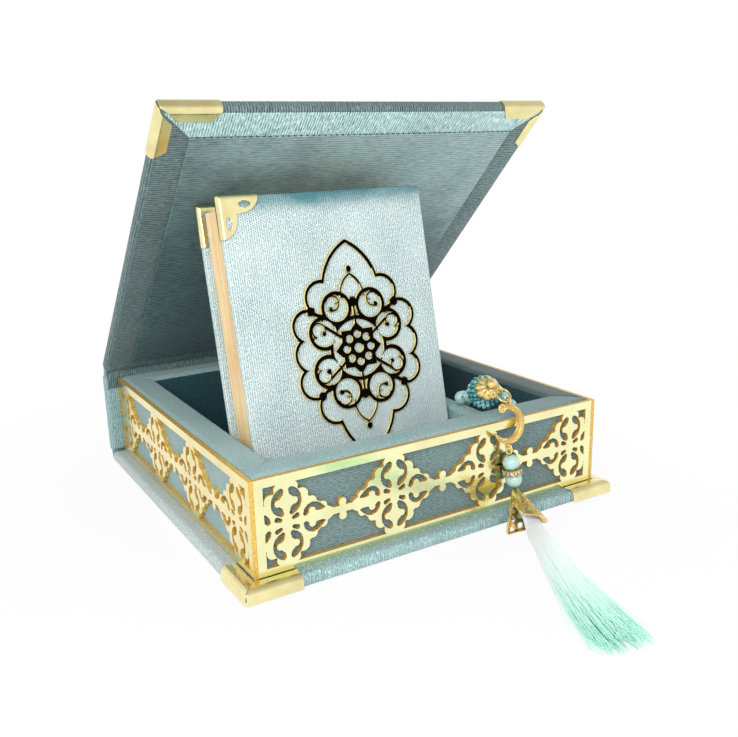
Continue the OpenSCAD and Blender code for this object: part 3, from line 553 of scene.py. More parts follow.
class Tree:
    """Node tree of a material or a world: nodes are added with settings and inputs, and linked by socket."""

    def __init__(self, owner):
        owner.use_nodes = True
        self.owner = owner
        self.nodes = owner.node_tree.nodes
        self.links = owner.node_tree.links
        self.shader = self.nodes.get("Principled BSDF")

    def feed(self, node, **inputs):
        """Sets or links inputs, by name with _ for a space, or by number after an i."""
        for key, value in inputs.items():
            by_number = key[0] == "i" and key[1:].isdigit()
            socket = node.inputs[int(key[1:]) if by_number else key.replace("_", " ")]
            if isinstance(value, bpy.types.NodeSocket):
                self.links.new(value, socket)
            elif hasattr(value, "__len__") and len(value) == 3 and socket.type == "RGBA":
                socket.default_value = (*value, 1.0)
            else:
                socket.default_value = value
        return node

    def add(self, kind, settings=None, **inputs):
        """New node of a kind."""
        node = self.nodes.new(kind)
        for key, value in (settings or {}).items():
            setattr(node, key, value)
        return self.feed(node, **inputs)

    def math(self, operation, a, b=0.0, clamp=False):
        """One step of arithmetic."""
        node = self.add("ShaderNodeMath", {"operation": operation, "use_clamp": clamp}, i0=a, i1=b)
        return node.outputs[0]

    def fit(self, value, factor, offset):
        """A value times a factor, plus an offset."""
        node = self.add("ShaderNodeMath", {"operation": "MULTIPLY_ADD"}, i0=value, i1=factor, i2=offset)
        return node.outputs[0]

    def wave(self, angle):
        """Sine of an angle, from 0 to 1."""
        return self.fit(self.math("SINE", angle), 0.5, 0.5)

    def place(self):
        """The piece's own coordinates, in metres."""
        return self.add("ShaderNodeTexCoord").outputs["Object"]

    def cloth_place(self):
        """The cloth's own coordinates, in millimetres."""
        return self.add("ShaderNodeUVMap", {"uv_map": "cloth"}).outputs["UV"]

    def tone(self):
        """The tone that the mesh gives each thread or bead."""
        return self.add("ShaderNodeAttribute", {"attribute_name": "tone"}).outputs["Fac"]

    def noise(self, vector, scale, detail=2.0, rough=0.5):
        """Cloudy noise from 0 to 1."""
        node = self.add("ShaderNodeTexNoise", Vector=vector, Scale=scale, Detail=detail, Roughness=rough)
        return node.outputs["Fac"]

    def stretch(self, vector, scale, turn=0.0):
        """Coordinates scaled, then turned about the third axis."""
        node = self.add("ShaderNodeMapping", Vector=vector, Scale=scale, Rotation=(0.0, 0.0, turn))
        return node.outputs["Vector"]

    def length(self, vector):
        """Length of a vector."""
        return self.add("ShaderNodeVectorMath", {"operation": "LENGTH"}, i0=vector).outputs["Value"]

    def ramp(self, value, stops):
        """Colour between stops of a place and a colour."""
        node = self.add("ShaderNodeValToRGB", Fac=value)
        band = node.color_ramp
        for _ in stops[2:]:
            band.elements.new(0.5)
        for element, (place, colour) in zip(band.elements, stops):
            element.position = place
            element.color = (*colour, 1.0)
        return node.outputs["Color"]

    def mix(self, factor, a, b):
        """Colour between two colours."""
        return self.add("ShaderNodeMix", {"data_type": "RGBA"}, i0=factor, i6=a, i7=b).outputs[2]

    def bump(self, height, distance, strength=1.0):
        """Relief of a height over a distance in metres."""
        node = self.add("ShaderNodeBump", Height=height, Distance=distance, Strength=strength)
        self.feed(self.shader, Normal=node.outputs["Normal"])


def new_finish(name):
    """Tree of a new material."""
    return Tree(bpy.data.materials.new(name))


def shade(colour, factor):
    """The same colour, lighter or darker."""
    return tuple(min(1.0, c * factor) for c in colour)


def cloth_finish(name, light, dark, pitch, dots=0.3, ribs=0.5, turn=0.0, glint=0.5, blotch=0.4, drawn=3.0,
                 brushed_and_painted_light=None):
    """Ribbed cloth with a shining thread: ribs and, shifted from row to row, the dots where threads cross.

    The dark ground shows in the dots and between the ribs, drawn-out noise breaks the threads up, broad noise
    turns the nap, and single threads get a painted glint, a lighter colour where a drawn-out noise peaks.
    drawn says how many times longer than wide a thread's light and dark lengths are. The last argument is an
    oval where light or shade is painted in a colour of its own: its middle, half sizes and colour.
    """
    t = new_finish(name)
    own = t.cloth_place()
    place = t.stretch(own, (1.0, 1.0, 1.0), turn)
    waver = t.noise(t.stretch(place, (0.05, 0.16, 0.16)), 1.0, 2.0)
    part = t.add("ShaderNodeSeparateXYZ", Vector=place)
    across = t.math("ADD", part.outputs["Y"], t.math("MULTIPLY", waver, pitch * 0.5))
    row = t.math("FLOOR", t.math("DIVIDE", across, pitch))
    rib = t.wave(t.math("MULTIPLY", across, 2 * math.pi / pitch))
    along = t.math("MULTIPLY", part.outputs["X"], 2 * math.pi / pitch)
    along = t.math("ADD", along, t.math("MULTIPLY", row, math.pi))
    dot = t.math("POWER", t.math("MULTIPLY", rib, t.wave(along)), 1.2)
    thread = t.noise(t.stretch(place, (1.6 / pitch / drawn, 1.6 / pitch, 1.0)), 1.0, 2.0, 0.7)
    spark = t.noise(t.stretch(place, (1.8 / pitch / drawn, 1.8 / pitch, 1.0)), 1.0, 1.0)
    nap = t.noise(t.stretch(place, (0.03, 0.05, 1.0)), 1.0, 3.0)
    level = t.math("SUBTRACT", 0.86, t.math("MULTIPLY", dot, 1.5 * dots))
    level = t.math("SUBTRACT", level, t.math("MULTIPLY", rib, 0.9 * ribs))
    level = t.math("ADD", level, t.math("MULTIPLY", t.math("SUBTRACT", thread, 0.5), 2.2))
    level = t.math("ADD", level, t.math("MULTIPLY", t.math("SUBTRACT", nap, 0.5), 1.6 * blotch), clamp=True)
    # Painted glint: single threads get a lighter colour where the drawn-out noise peaks
    shine = t.math("MULTIPLY", t.math("SUBTRACT", spark, 0.58, clamp=True), 8.0 * glint, clamp=True)
    colour = t.mix(shine, t.mix(level, dark, light), shade(light, 1.5))
    # Painted light and shade: an oval in its own colour, broken by noise and fading out towards its edge
    if brushed_and_painted_light:
        x, y, half_x, half_y, other = brushed_and_painted_light
        spot = t.add("ShaderNodeMapping", Vector=own, Scale=(1 / half_x, 1 / half_y, 0.0),
                     Location=(-x / half_x, -y / half_y, 0.0))
        far = t.length(spot.outputs[0])
        painted_light_patch = t.noise(t.stretch(own, (0.06, 0.11, 1.0)), 1.0, 3.0)
        painted_light_patch = t.math("ADD", t.math("MULTIPLY", painted_light_patch, 0.9), 1.0)
        painted_light_patch = t.math("SUBTRACT", painted_light_patch, t.math("MULTIPLY", far, 1.3), clamp=True)
        fade = t.math("MULTIPLY", t.math("SUBTRACT", 1.0, far), 2.4, clamp=True)
        painted_light_patch = t.math("MULTIPLY", painted_light_patch, fade, clamp=True)
        colour = t.mix(painted_light_patch, colour, t.mix(level, shade(other, 0.55), shade(other, 1.2)))
    t.feed(t.shader, Base_Color=colour, Roughness=t.math("SUBTRACT", 0.8, t.math("MULTIPLY", level, 0.2)))
    t.feed(t.shader, Metallic=0.05, Specular_IOR_Level=0.3, Sheen_Weight=0.15, Sheen_Roughness=0.5)
    t.bump(t.math("SUBTRACT", t.math("MULTIPLY", thread, 0.4), t.math("ADD", rib, dot)), 0.00012, 0.6)
    return t.owner


def pile_finish(name, colour):
    """Short dark pile: fine noise for the tufts, broad noise for patches where the pile lies one way, soft
    sheen.
    """
    t = new_finish(name)
    place = t.place()
    tuft = t.noise(place, 1900.0, 2.0)
    brushed_and_painted_light = t.noise(place, 45.0, 3.0)
    level = t.math("ADD", t.math("MULTIPLY", tuft, 0.6), t.math("MULTIPLY", brushed_and_painted_light, 0.5), clamp=True)
    t.feed(t.shader, Base_Color=t.ramp(level, [(0.2, shade(colour, 0.5)), (0.85, shade(colour, 1.5))]))
    t.feed(t.shader, Roughness=0.85, Sheen_Weight=0.4, Sheen_Roughness=0.5)
    t.bump(tuft, 0.0004, 0.6)
    return t.owner


def gilt_finish(name, colour, rough, scratch=1.0):
    """Polished gilt metal: warm tone drifts slowly, hairline scratches and dull patches vary the gloss."""
    t = new_finish(name)
    place = t.place()
    drift = t.noise(place, 90.0, 3.0)
    hair = t.noise(t.stretch(place, (260.0, 2600.0, 900.0), 0.5), 1.0, 3.0)
    dull = t.noise(place, 420.0, 4.0)
    t.feed(t.shader, Base_Color=t.ramp(drift, [(0.3, shade(colour, 0.82)), (0.7, shade(colour, 1.08))]))
    t.feed(t.shader, Metallic=1.0, Roughness=t.math("ADD", rough - 0.06, t.math("MULTIPLY", dull, 0.16)))
    t.bump(hair, 0.00003 * scratch, 0.5)
    return t.owner


def cut_sheet_finish(name, face, edge, axis, face_rough, edge_rough):
    """Mirror sheet with cut edges: surfaces that face along the axis are mirror, those across it cut edge."""
    t = new_finish(name)
    source = t.add("ShaderNodeTexCoord")
    part = t.add("ShaderNodeSeparateXYZ", Vector=source.outputs["Normal"])
    faces = t.math("GREATER_THAN", t.math("ABSOLUTE", part.outputs[axis]), 0.75)
    drift = t.noise(source.outputs["Object"], 60.0, 3.0)
    burr = t.noise(source.outputs["Object"], 1500.0, 3.0)
    face_colour = t.ramp(drift, [(0.3, shade(face, 0.9)), (0.7, shade(face, 1.05))])
    edge_colour = t.ramp(burr, [(0.3, shade(edge, 0.6)), (0.7, shade(edge, 1.2))])
    burred = t.math("ADD", t.math("MULTIPLY", burr, 0.08), edge_rough - 0.03)
    t.feed(t.shader, Base_Color=t.mix(faces, edge_colour, face_colour))
    t.feed(t.shader, Metallic=t.math("ADD", t.math("MULTIPLY", faces, 0.65), 0.35))
    t.feed(t.shader, Roughness=t.fit(faces, face_rough - edge_rough, burred))
    t.bump(drift, 0.0004, 0.25)
    return t.owner


def page_finish(name, light, dark):
    """Gilt page edges: lines of tone along each leaf, with soft blotches where the edge was coloured."""
    t = new_finish(name)
    place = t.cloth_place()
    leaf = t.noise(t.stretch(place, (0.02, 3.2, 1.0)), 1.0, 4.0, 0.7)
    blotch = t.noise(t.stretch(place, (0.05, 0.12, 1.0)), 1.0, 3.0)
    level = t.math("ADD", t.math("MULTIPLY", leaf, 0.75), t.math("MULTIPLY", blotch, 0.3))
    t.feed(t.shader, Base_Color=t.ramp(level, [(0.35, dark), (0.68, light)]), Roughness=0.5, Metallic=0.15)
    t.bump(leaf, 0.0002, 0.6)
    return t.owner


def pearl_finish(name, colour):
    """Pearl: milky body with slow mint and rose drifts under a clear glossy coat."""
    t = new_finish(name)
    place = t.place()
    drift = t.noise(place, 160.0, 2.0)
    rose = (min(1.0, colour[0] * 1.12), colour[1] * 0.96, colour[2] * 0.97)
    t.feed(t.shader, Base_Color=t.ramp(drift, [(0.3, shade(colour, 0.86)), (0.5, colour), (0.75, rose)]))
    t.feed(t.shader, Roughness=0.24, Metallic=0.2, Coat_Weight=0.6, Coat_Roughness=0.05)
    t.bump(t.noise(place, 700.0, 2.0), 0.00003, 0.3)
    return t.owner


def seed_finish(name, colour, pale):
    """Glass seed beads: each bead has its own tone, with a coated gloss."""
    t = new_finish(name)
    streak = t.noise(t.place(), 900.0, 2.0)
    level = t.math("ADD", t.tone(), t.math("MULTIPLY", t.math("SUBTRACT", streak, 0.5), 0.5), clamp=True)
    t.feed(t.shader, Base_Color=t.ramp(level, [(0.0, shade(colour, 0.5)), (0.45, colour), (1.0, pale)]))
    t.feed(t.shader, Roughness=t.fit(streak, 0.14, 0.1), Coat_Weight=0.7, Coat_Roughness=0.04)
    return t.owner


def crystal_finish(name):
    """Cut crystal: clear glass with a high index and a faint cool drift."""
    t = new_finish(name)
    drift = t.noise(t.place(), 800.0, 1.0)
    t.feed(t.shader, Base_Color=t.ramp(drift, [(0.3, (0.86, 0.9, 0.95)), (0.7, (1.0, 1.0, 1.0))]))
    t.feed(t.shader, Roughness=0.03, IOR=1.62, Transmission_Weight=0.7)
    return t.owner


def silk_finish(name, light, dark):
    """Silk threads: each thread has its own tone, darker towards its free end, with a soft sheen."""
    t = new_finish(name)
    twist = t.noise(t.place(), 1400.0, 2.0)
    level = t.math("ADD", t.tone(), t.math("MULTIPLY", t.math("SUBTRACT", twist, 0.5), 0.35), clamp=True)
    t.feed(t.shader, Base_Color=t.ramp(level, [(0.0, light), (0.6, dark), (1.0, shade(dark, 0.6))]))
    t.feed(t.shader, Roughness=0.38, Sheen_Weight=0.5, Sheen_Roughness=0.35)
    t.bump(twist, 0.0001, 0.4)
    return t.owner


def dress(nodes, material):
    """Gives CAD nodes their finish."""
    for name in nodes:
        FRAME["nodes"][name].data.materials.clear()
        FRAME["nodes"][name].data.materials.append(material)


# Pieces


class PieceOperator:
    """What the operators share: each makes its pieces and is done, or stops with an error."""

    bl_options = {"REGISTER"}

    def execute(self, context):
        self.make(context.scene)
        return {"FINISHED"}


class CaseBoards(PieceOperator, bpy.types.Operator):
    """Cover the base, spine and lid boards with ribbed cloth, turn it in round the lid and line the lid"""

    bl_idname = "quran_box.case_boards"
    bl_label = "Case boards"

    def base(self, s):
        """Base board in a lighter copy of the cloth, as painted light, with a painted sheen, brighter and
        greyer, on its side ledges.
        """
        # Painted light: the ledges are a lighter copy of the case cloth
        ledge = cloth_finish("ledge_cloth", shade(s.light, 1.35), shade(s.dark, 1.1), s.rib_pitch,
                             dots=0.15, ribs=0.3, turn=math.pi / 2, glint=1.0, blotch=0.5)
        # Painted sheen: the side ledges get the bright nap colour, lighter and greyer
        side = cloth_finish("side_ledge_cloth", shade(s.nap, 1.1), shade(s.nap, 0.8), s.rib_pitch,
                            dots=0.15, ribs=0.2, turn=math.pi / 2, glint=1.0, blotch=0.5)
        size = BASE_HIGH - BASE_LOW
        points, faces, uv = covered_board(size[0] / 2, size[1] / 2, size[2], BASE_EDGE_R, 1.6, arc_steps=9)
        points = points + [0, (BASE_LOW[1] + BASE_HIGH[1]) / 2, BASE_LOW[2]]
        cover = make_piece("base_cover", points, faces, ledge, "box", uv, finishes=(
            (side, lambda m, n: BASE_HIGH[0] - np.abs(m[:, 0]) < m[:, 1] - BASE_LOW[1]),))
        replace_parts(cover, "base_board")

    def spine(self, cloth):
        """Upright spine board."""
        size = SPINE_HIGH - SPINE_LOW
        points, faces, uv = covered_board(size[0] / 2, size[2] / 2, size[1], LID_EDGE_R, 1.2)
        rise = (SPINE_LOW[2] + SPINE_HIGH[2]) / 2 + points[..., 1]
        points = np.stack([points[..., 0], SPINE_HIGH[1] - points[..., 2], rise], -1)
        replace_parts(make_piece("spine_cover", points, faces, cloth, "spine", uv), "spine_board")

    def turn_in(self, name, from_place, to_place, cuts, to_lid, material):
        """Strip of cloth turned in along an edge of the lid: a flat round-edged profile, mitred at its ends.

        cuts say how far each end gives way for each millimetre in from the edge.
        """
        turn = np.linspace(0, 2 * math.pi, 12, endpoint=False)
        reach = TURN_IN_W / 2
        inset = TURN_IN_START + reach + reach * np.sign(np.cos(turn)) * np.abs(np.cos(turn)) ** 0.3
        height = -0.12 + 0.2 * np.sin(turn)
        start, end = from_place + cuts[0] * inset, to_place - cuts[1] * inset
        share = np.concatenate([[0.0], np.linspace(0, 1, 61), [1.0]])
        along = start[:, None] + share * (end - start)[:, None]
        inset, height = (np.repeat(k[:, None], len(share), 1) for k in (inset, height))
        for k in (inset, height):
            k[:, [0, -1]] = k.mean(0)[0]
        along[:, [0, -1]] = along[:, [1, -2]].mean(0)
        points = lid_place(to_lid(along, inset, height))
        uv = np.stack([along, inset], -1)
        make_piece(name, points, grid_faces(*along.shape, wrap_rows=True), material, "lid", uv)

    def lid(self, s, outside):
        """Lid board with its turned-in cloth and its lining."""
        # Painted shade: the lid's cloth is a darker copy of the case cloth, for its inside and edges that face
        # away from the light
        shell = cloth_finish("shell_cloth", shade(s.light, 0.66), shade(s.dark, 0.45), s.rib_pitch * 1.2,
                             dots=0.25, ribs=0.7, turn=math.pi / 2, glint=0.4, drawn=4)
        # Painted light: the front turn-in is a much lighter copy, where its sheen catches the light
        comb = cloth_finish("comb_cloth", shade(s.light, 2.0), shade(s.dark, 1.2), s.rib_pitch * 1.2,
                            dots=0.1, ribs=0.6, turn=math.pi / 2, glint=0.8, blotch=0.3, drawn=4)
        # Painted shadow: a near-black copy for the thread in the shade between the front turn-in and the
        # lining
        shadow_line = cloth_finish("shadow_line_cloth", shade(s.dark, 0.3), shade(s.dark, 0.1), s.rib_pitch, dots=0.1)
        # Painted light and shade: the lining's dark ground stands in for its shade, and the oval towards its
        # upper right is painted light
        lining = cloth_finish("lining_cloth", shade(s.dark, 1.1), shade(s.dark, 0.18), s.rib_pitch * 1.3,
                              dots=0.05, ribs=0.6, glint=0.2, drawn=6,
                              brushed_and_painted_light=(-70.0, 92.0, 230.0, 120.0, shade(s.light, 0.95)))
        half = (SPINE_HIGH - SPINE_LOW)[0] / 2
        points, faces, uv = covered_board(half, LID_LENGTH / 2, LID_T, LID_EDGE_R, 1.2)
        points = lid_place(points + [0, LID_LENGTH / 2, 0])
        outward = lid_place([0, 0, 1]) - lid_place([0, 0, 0])
        cover = make_piece("lid_cover", points, faces, shell, "lid", uv, finishes=(
            (outside, lambda m, n: n @ outward > 0.8),))
        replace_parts(cover, "lid_board")
        self.turn_in("turn_in_front", -half, half, (1, 1),
                     lambda a, d, h: np.stack([a, LID_LENGTH - d, h], -1), comb)
        self.turn_in("turn_in_right", 4.0, LID_LENGTH, (0, 1),
                     lambda a, d, h: np.stack([half - d, a, h], -1), shell)
        self.turn_in("turn_in_left", 4.0, LID_LENGTH, (0, 1),
                     lambda a, d, h: np.stack([d - half, a, h], -1), shell)

        # Dark thread along the front turn-in's edge, which waves a little: a painted shadow line between the
        # turn-in and the lining
        x = np.linspace(-77.0, 77.0, 400)
        wave = np.sin(x * 2.3)
        edge = np.stack([x, LID_LENGTH - TURN_IN_SEAM + 0.14 * wave, -0.3 + 0 * x], -1)
        points, faces = tube(lid_place(edge), 0.36 + 0.1 * wave, 8)
        make_piece("turn_in_edge", points, faces, shadow_line, "lid", points[:, :2])

        points, faces, uv = covered_board(LINING_HALF, LINING_HALF, LINING_T, 0.4, 0.8, side_steps=60)
        points = lid_place(points + [0, LINING_MIDDLE, -LINING_SUNK])
        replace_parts(make_piece("lid_panel", points, faces, lining, "lid", uv), "lid_lining")

    def make(self, scene):
        s = scene.box_cloth
        # Painted light: the outside cloth of spine and lid is a lighter copy of the case cloth, for outer
        # faces the light falls on
        outside = cloth_finish("spine_cloth", shade(s.light, 1.45), shade(s.dark, 1.35), s.rib_pitch,
                               dots=0.2, turn=math.pi / 2, glint=0.4)
        self.base(s)
        self.spine(outside)
        self.lid(s, outside)


class CaseFolds(PieceOperator, bpy.types.Operator):
    """Lay the cloth hinges between base, spine and lid"""

    bl_idname = "quran_box.case_folds"
    bl_label = "Cloth folds"

    def fold(self, name, knots, material, bodies, start, end, carried, node):
        """Strip of cloth across a fold: a smooth line in side view, carried across the width of the case."""
        line = even_steps(smooth_line(knots, 8), 40)
        half = SPINE_HIGH[0] - 1.2
        across = np.linspace(-half, half, 61)
        run = run_length(line)
        points = np.stack(np.broadcast_arrays(across[None], line[:, :1], line[:, 1:]), -1)
        uv = np.stack(np.broadcast_arrays(across[None], run[:, None]), -1)
        piece = make_piece(name, points, grid_faces(len(line), len(across)), material, None, uv)
        thicken(piece, "cloth thickness", FOLD_T)
        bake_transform(piece)
        if node:
            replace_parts(piece, node)

    def make(self, scene):
        shell, outside = (bpy.data.materials[name] for name in ("shell_cloth", "spine_cloth"))
        back = SPINE_HIGH[1]
        front = SPINE_LOW[1]
        top = SPINE_HIGH[2]
        y, z = HIGH_FOLD[1:]

        def on_lid(run, height):
            """Side view of a place on the lid."""
            return tuple(lid_place([0, run, height])[1:])

        outer = [(back - 0.6, top - 9), (back - 0.1, top - 6), (back + 0.12, top - 2),
                 (y + 2.3, z - 0.6), (y + 1.9, z + 1.2),
                 on_lid(1.6, LID_T + 0.1), on_lid(5, LID_T - 0.1), on_lid(8, LID_T - 0.7)]
        self.fold("upper_fold_outer", outer, outside, ("spine", "lid"), (0, y + 1.4, z - 3),
                  (0, y - 1.5, z + 3.2), ["spine_cover", "lid_cover"], "high_fold_cloth")
        inner = [(front + 0.6, top - 9), (front + 0.1, top - 6), (front - 0.12, top - 2),
                 (y - 2.2, z - 1.6), (y - 2.9, z - 0.2),
                 on_lid(1.6, -0.1), on_lid(5, 0.1), on_lid(8, 0.7)]
        self.fold("upper_fold_inner", inner, shell, ("spine", "lid"), (0, y - 1.4, z - 3),
                  (0, y - 4, z + 1.6), ["spine_cover", "lid_cover"], None)
        y, z = LOW_FOLD[1:]
        edge = BASE_HIGH[1]
        below = [(edge - 6, 0.8), (edge - 3, 0.45), (edge, 0.32), (y + 0.6, 0.5), (y + 2.2, z - 0.9),
                 (back + 0.05, z + 2.2), (back + 0.1, z + 5), (back - 0.2, z + 8), (back - 0.7, z + 11)]
        self.fold("lower_fold", below, outside, ("box", "spine"), (0, y - 2.4, z - 1.2),
                  (0, y + 1.2, z + 2.6), ["base_cover", "spine_cover"], "low_fold_cloth")


class Tray(PieceOperator, bpy.types.Operator):
    """Cover the tray's walls and divider and lay its floors"""

    bl_idname = "quran_box.tray"
    bl_label = "Tray"

    def wall_profile(self):
        """Inset and height round a wall: up the outside, over the rounded rim and down inside."""
        r, top, low = RIM_R, TRAY_HIGH[2], TRAY_LOW[2]
        turn = np.linspace(0, math.pi / 2, 8)
        rise = np.linspace(low, top - r, 9)[:-1]
        crown = np.linspace(r, WALL_T - r, 10)[1:-1]
        swell = 0.1 * np.sin((crown - r) / (WALL_T - 2 * r) * math.pi)
        inset = [0 * rise, r - r * np.cos(turn), crown, WALL_T - r + r * np.sin(turn), WALL_T + 0 * rise]
        height = [rise, top - r + r * np.sin(turn), top + swell, top - r + r * np.cos(turn), rise[::-1]]
        return np.stack([np.concatenate(inset), np.concatenate(height)], -1)

    def walls(self, rim, front, inside):
        """Four mitred walls, their cloth drawn in along the mitres, with darker copies of the cloth in front
        and inside as painted shade.
        """
        half = (TRAY_HIGH - TRAY_LOW)[:2] / 2
        middle = ((TRAY_HIGH + TRAY_LOW) / 2)[:2]
        profile = self.wall_profile()
        run = run_length(profile)
        reach = np.linspace(-1, 1, 97)
        reach = np.sign(reach) * (1 - (1 - np.abs(reach)) ** 2.2)
        on_rim = profile[:, 1:] > TRAY_HIGH[2] - 2.6
        points, uv = [], []
        for side, (c, q) in enumerate([(1, 0), (0, 1), (-1, 0), (0, -1)]):
            length, depth = half[side % 2], half[1 - side % 2]
            along = reach[None] * (length - profile[:, :1])
            out = -(depth - profile[:, :1]) + 0 * along
            to_mitre = (length - profile[:, :1]) * (1 - np.abs(reach[None]))
            height = profile[:, 1:] - MITRE_DEPTH * np.exp(-((to_mitre / MITRE_W) ** 2)) * on_rim
            x, y = middle[0] + along * c - out * q, middle[1] + along * q + out * c
            points.append(np.stack([x, y, height + 0 * along], -1).reshape(-1, 3))
            uv.append(np.stack(np.broadcast_arrays(along + 300 * side, run[:, None]), -1).reshape(-1, 2))
        faces = grid_faces(len(profile), len(reach), wrap_rows=True)
        faces = repeat_faces(faces, len(points[0]), 4)
        low, high = TRAY_LOW + WALL_T - 0.2, TRAY_HIGH - WALL_T + 0.2

        def is_inside(m, n):
            """Faces on the inside of a wall, below its rim, where the cloth gets its painted shade."""
            between = (m[:, :2] > low[:2]) & (m[:, :2] < high[:2])
            return between.all(1) & (m[:, 2] < TRAY_HIGH[2] - 2.2)

        walls = make_piece(
            "tray_cover", np.concatenate(points), faces, rim, "box", np.concatenate(uv), weld=0.004,
            finishes=((front, lambda m, n: (m[:, 1] < TRAY_LOW[1] + 0.05) & (n[:, 1] < -0.9)),
                      (inside, is_inside)))
        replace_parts(walls, "tray_front_wall", "tray_rear_wall", "tray_left_wall", "tray_right_wall")

    def divider(self, cloth):
        """Divider whose padded top has three shallow grooves along it."""
        x = np.linspace(DIVIDER_LOW[0], DIVIDER_HIGH[0], 49)
        share = (x - x[0]) / (x[-1] - x[0])
        ridge = DIVIDER_GROOVE * np.abs(np.cos(3 * math.pi * share)) ** 0.5
        crown = DIVIDER_HIGH[2] - DIVIDER_GROOVE + ridge - DIVIDER_ROUND * np.abs(2 * share - 1) ** 6
        top = np.stack([x, crown], -1)
        foot = np.array([[x[-1], DIVIDER_LOW[2]], [x[0], DIVIDER_LOW[2]]])
        section = even_steps(np.concatenate([foot[1:], top, foot]), 120)[:-1]
        swept = sweep_along(section, np.linspace(DIVIDER_LOW[1], DIVIDER_HIGH[1], 41))
        run = np.broadcast_to(run_length(section)[None], swept.shape[:2])
        uv = np.stack([swept[..., 2], run], -1)
        faces = grid_faces(*swept.shape[:2], wrap_cols=True)
        cover = make_piece("divider_cover", swept[..., [0, 2, 1]], faces, cloth, "box", uv)
        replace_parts(cover, "divider")

    def make(self, scene):
        s = scene.box_cloth
        # Painted shade: the rim's oval darkens the front's right end and the right wall, where less light
        # falls
        rim = cloth_finish("rim_cloth", shade(s.light, 1.2), shade(s.dark, 1.3), s.rib_pitch * 0.8,
                           dots=0.05, ribs=0.35, glint=0.25,
                           brushed_and_painted_light=(205.0, 45.0, 205.0, 90.0, shade(s.light, 0.32)))
        # Painted shade: the front wall behind the lattice is a darker copy of the cloth
        front = cloth_finish("front_cloth", shade(s.light, 0.75), shade(s.dark, 0.75), s.rib_pitch,
                             dots=0.15, ribs=0.4, glint=0.1)
        # Painted shade: the inside of the walls is a dark copy, in the floor cloth's colour, for the shade
        # inside the tray
        inside = cloth_finish("inside_cloth", shade(s.lining, 2.6), shade(s.lining, 1.0), s.rib_pitch,
                              dots=0.1, ribs=0.6, glint=0.1)
        self.walls(rim, front, inside)
        self.divider(rim)
        dress(["book_floor", "bead_floor"], pile_finish("floor_pile", s.lining))


class Lattices(PieceOperator, bpy.types.Operator):
    """Give the cut lattices their gold mirror faces and copper edges"""

    bl_idname = "quran_box.lattices"
    bl_label = "Lattices"

    def make(self, scene):
        s = scene.box_gilt
        front = cut_sheet_finish("front_mirror", s.mirror, shade(s.copper, 0.75), "Y", 0.16, 0.35)
        side = cut_sheet_finish("side_mirror", s.metal, s.copper, "X", 0.2, 0.35)
        dress(["front_lattice"], front)
        dress(["left_lattice", "right_lattice"], side)


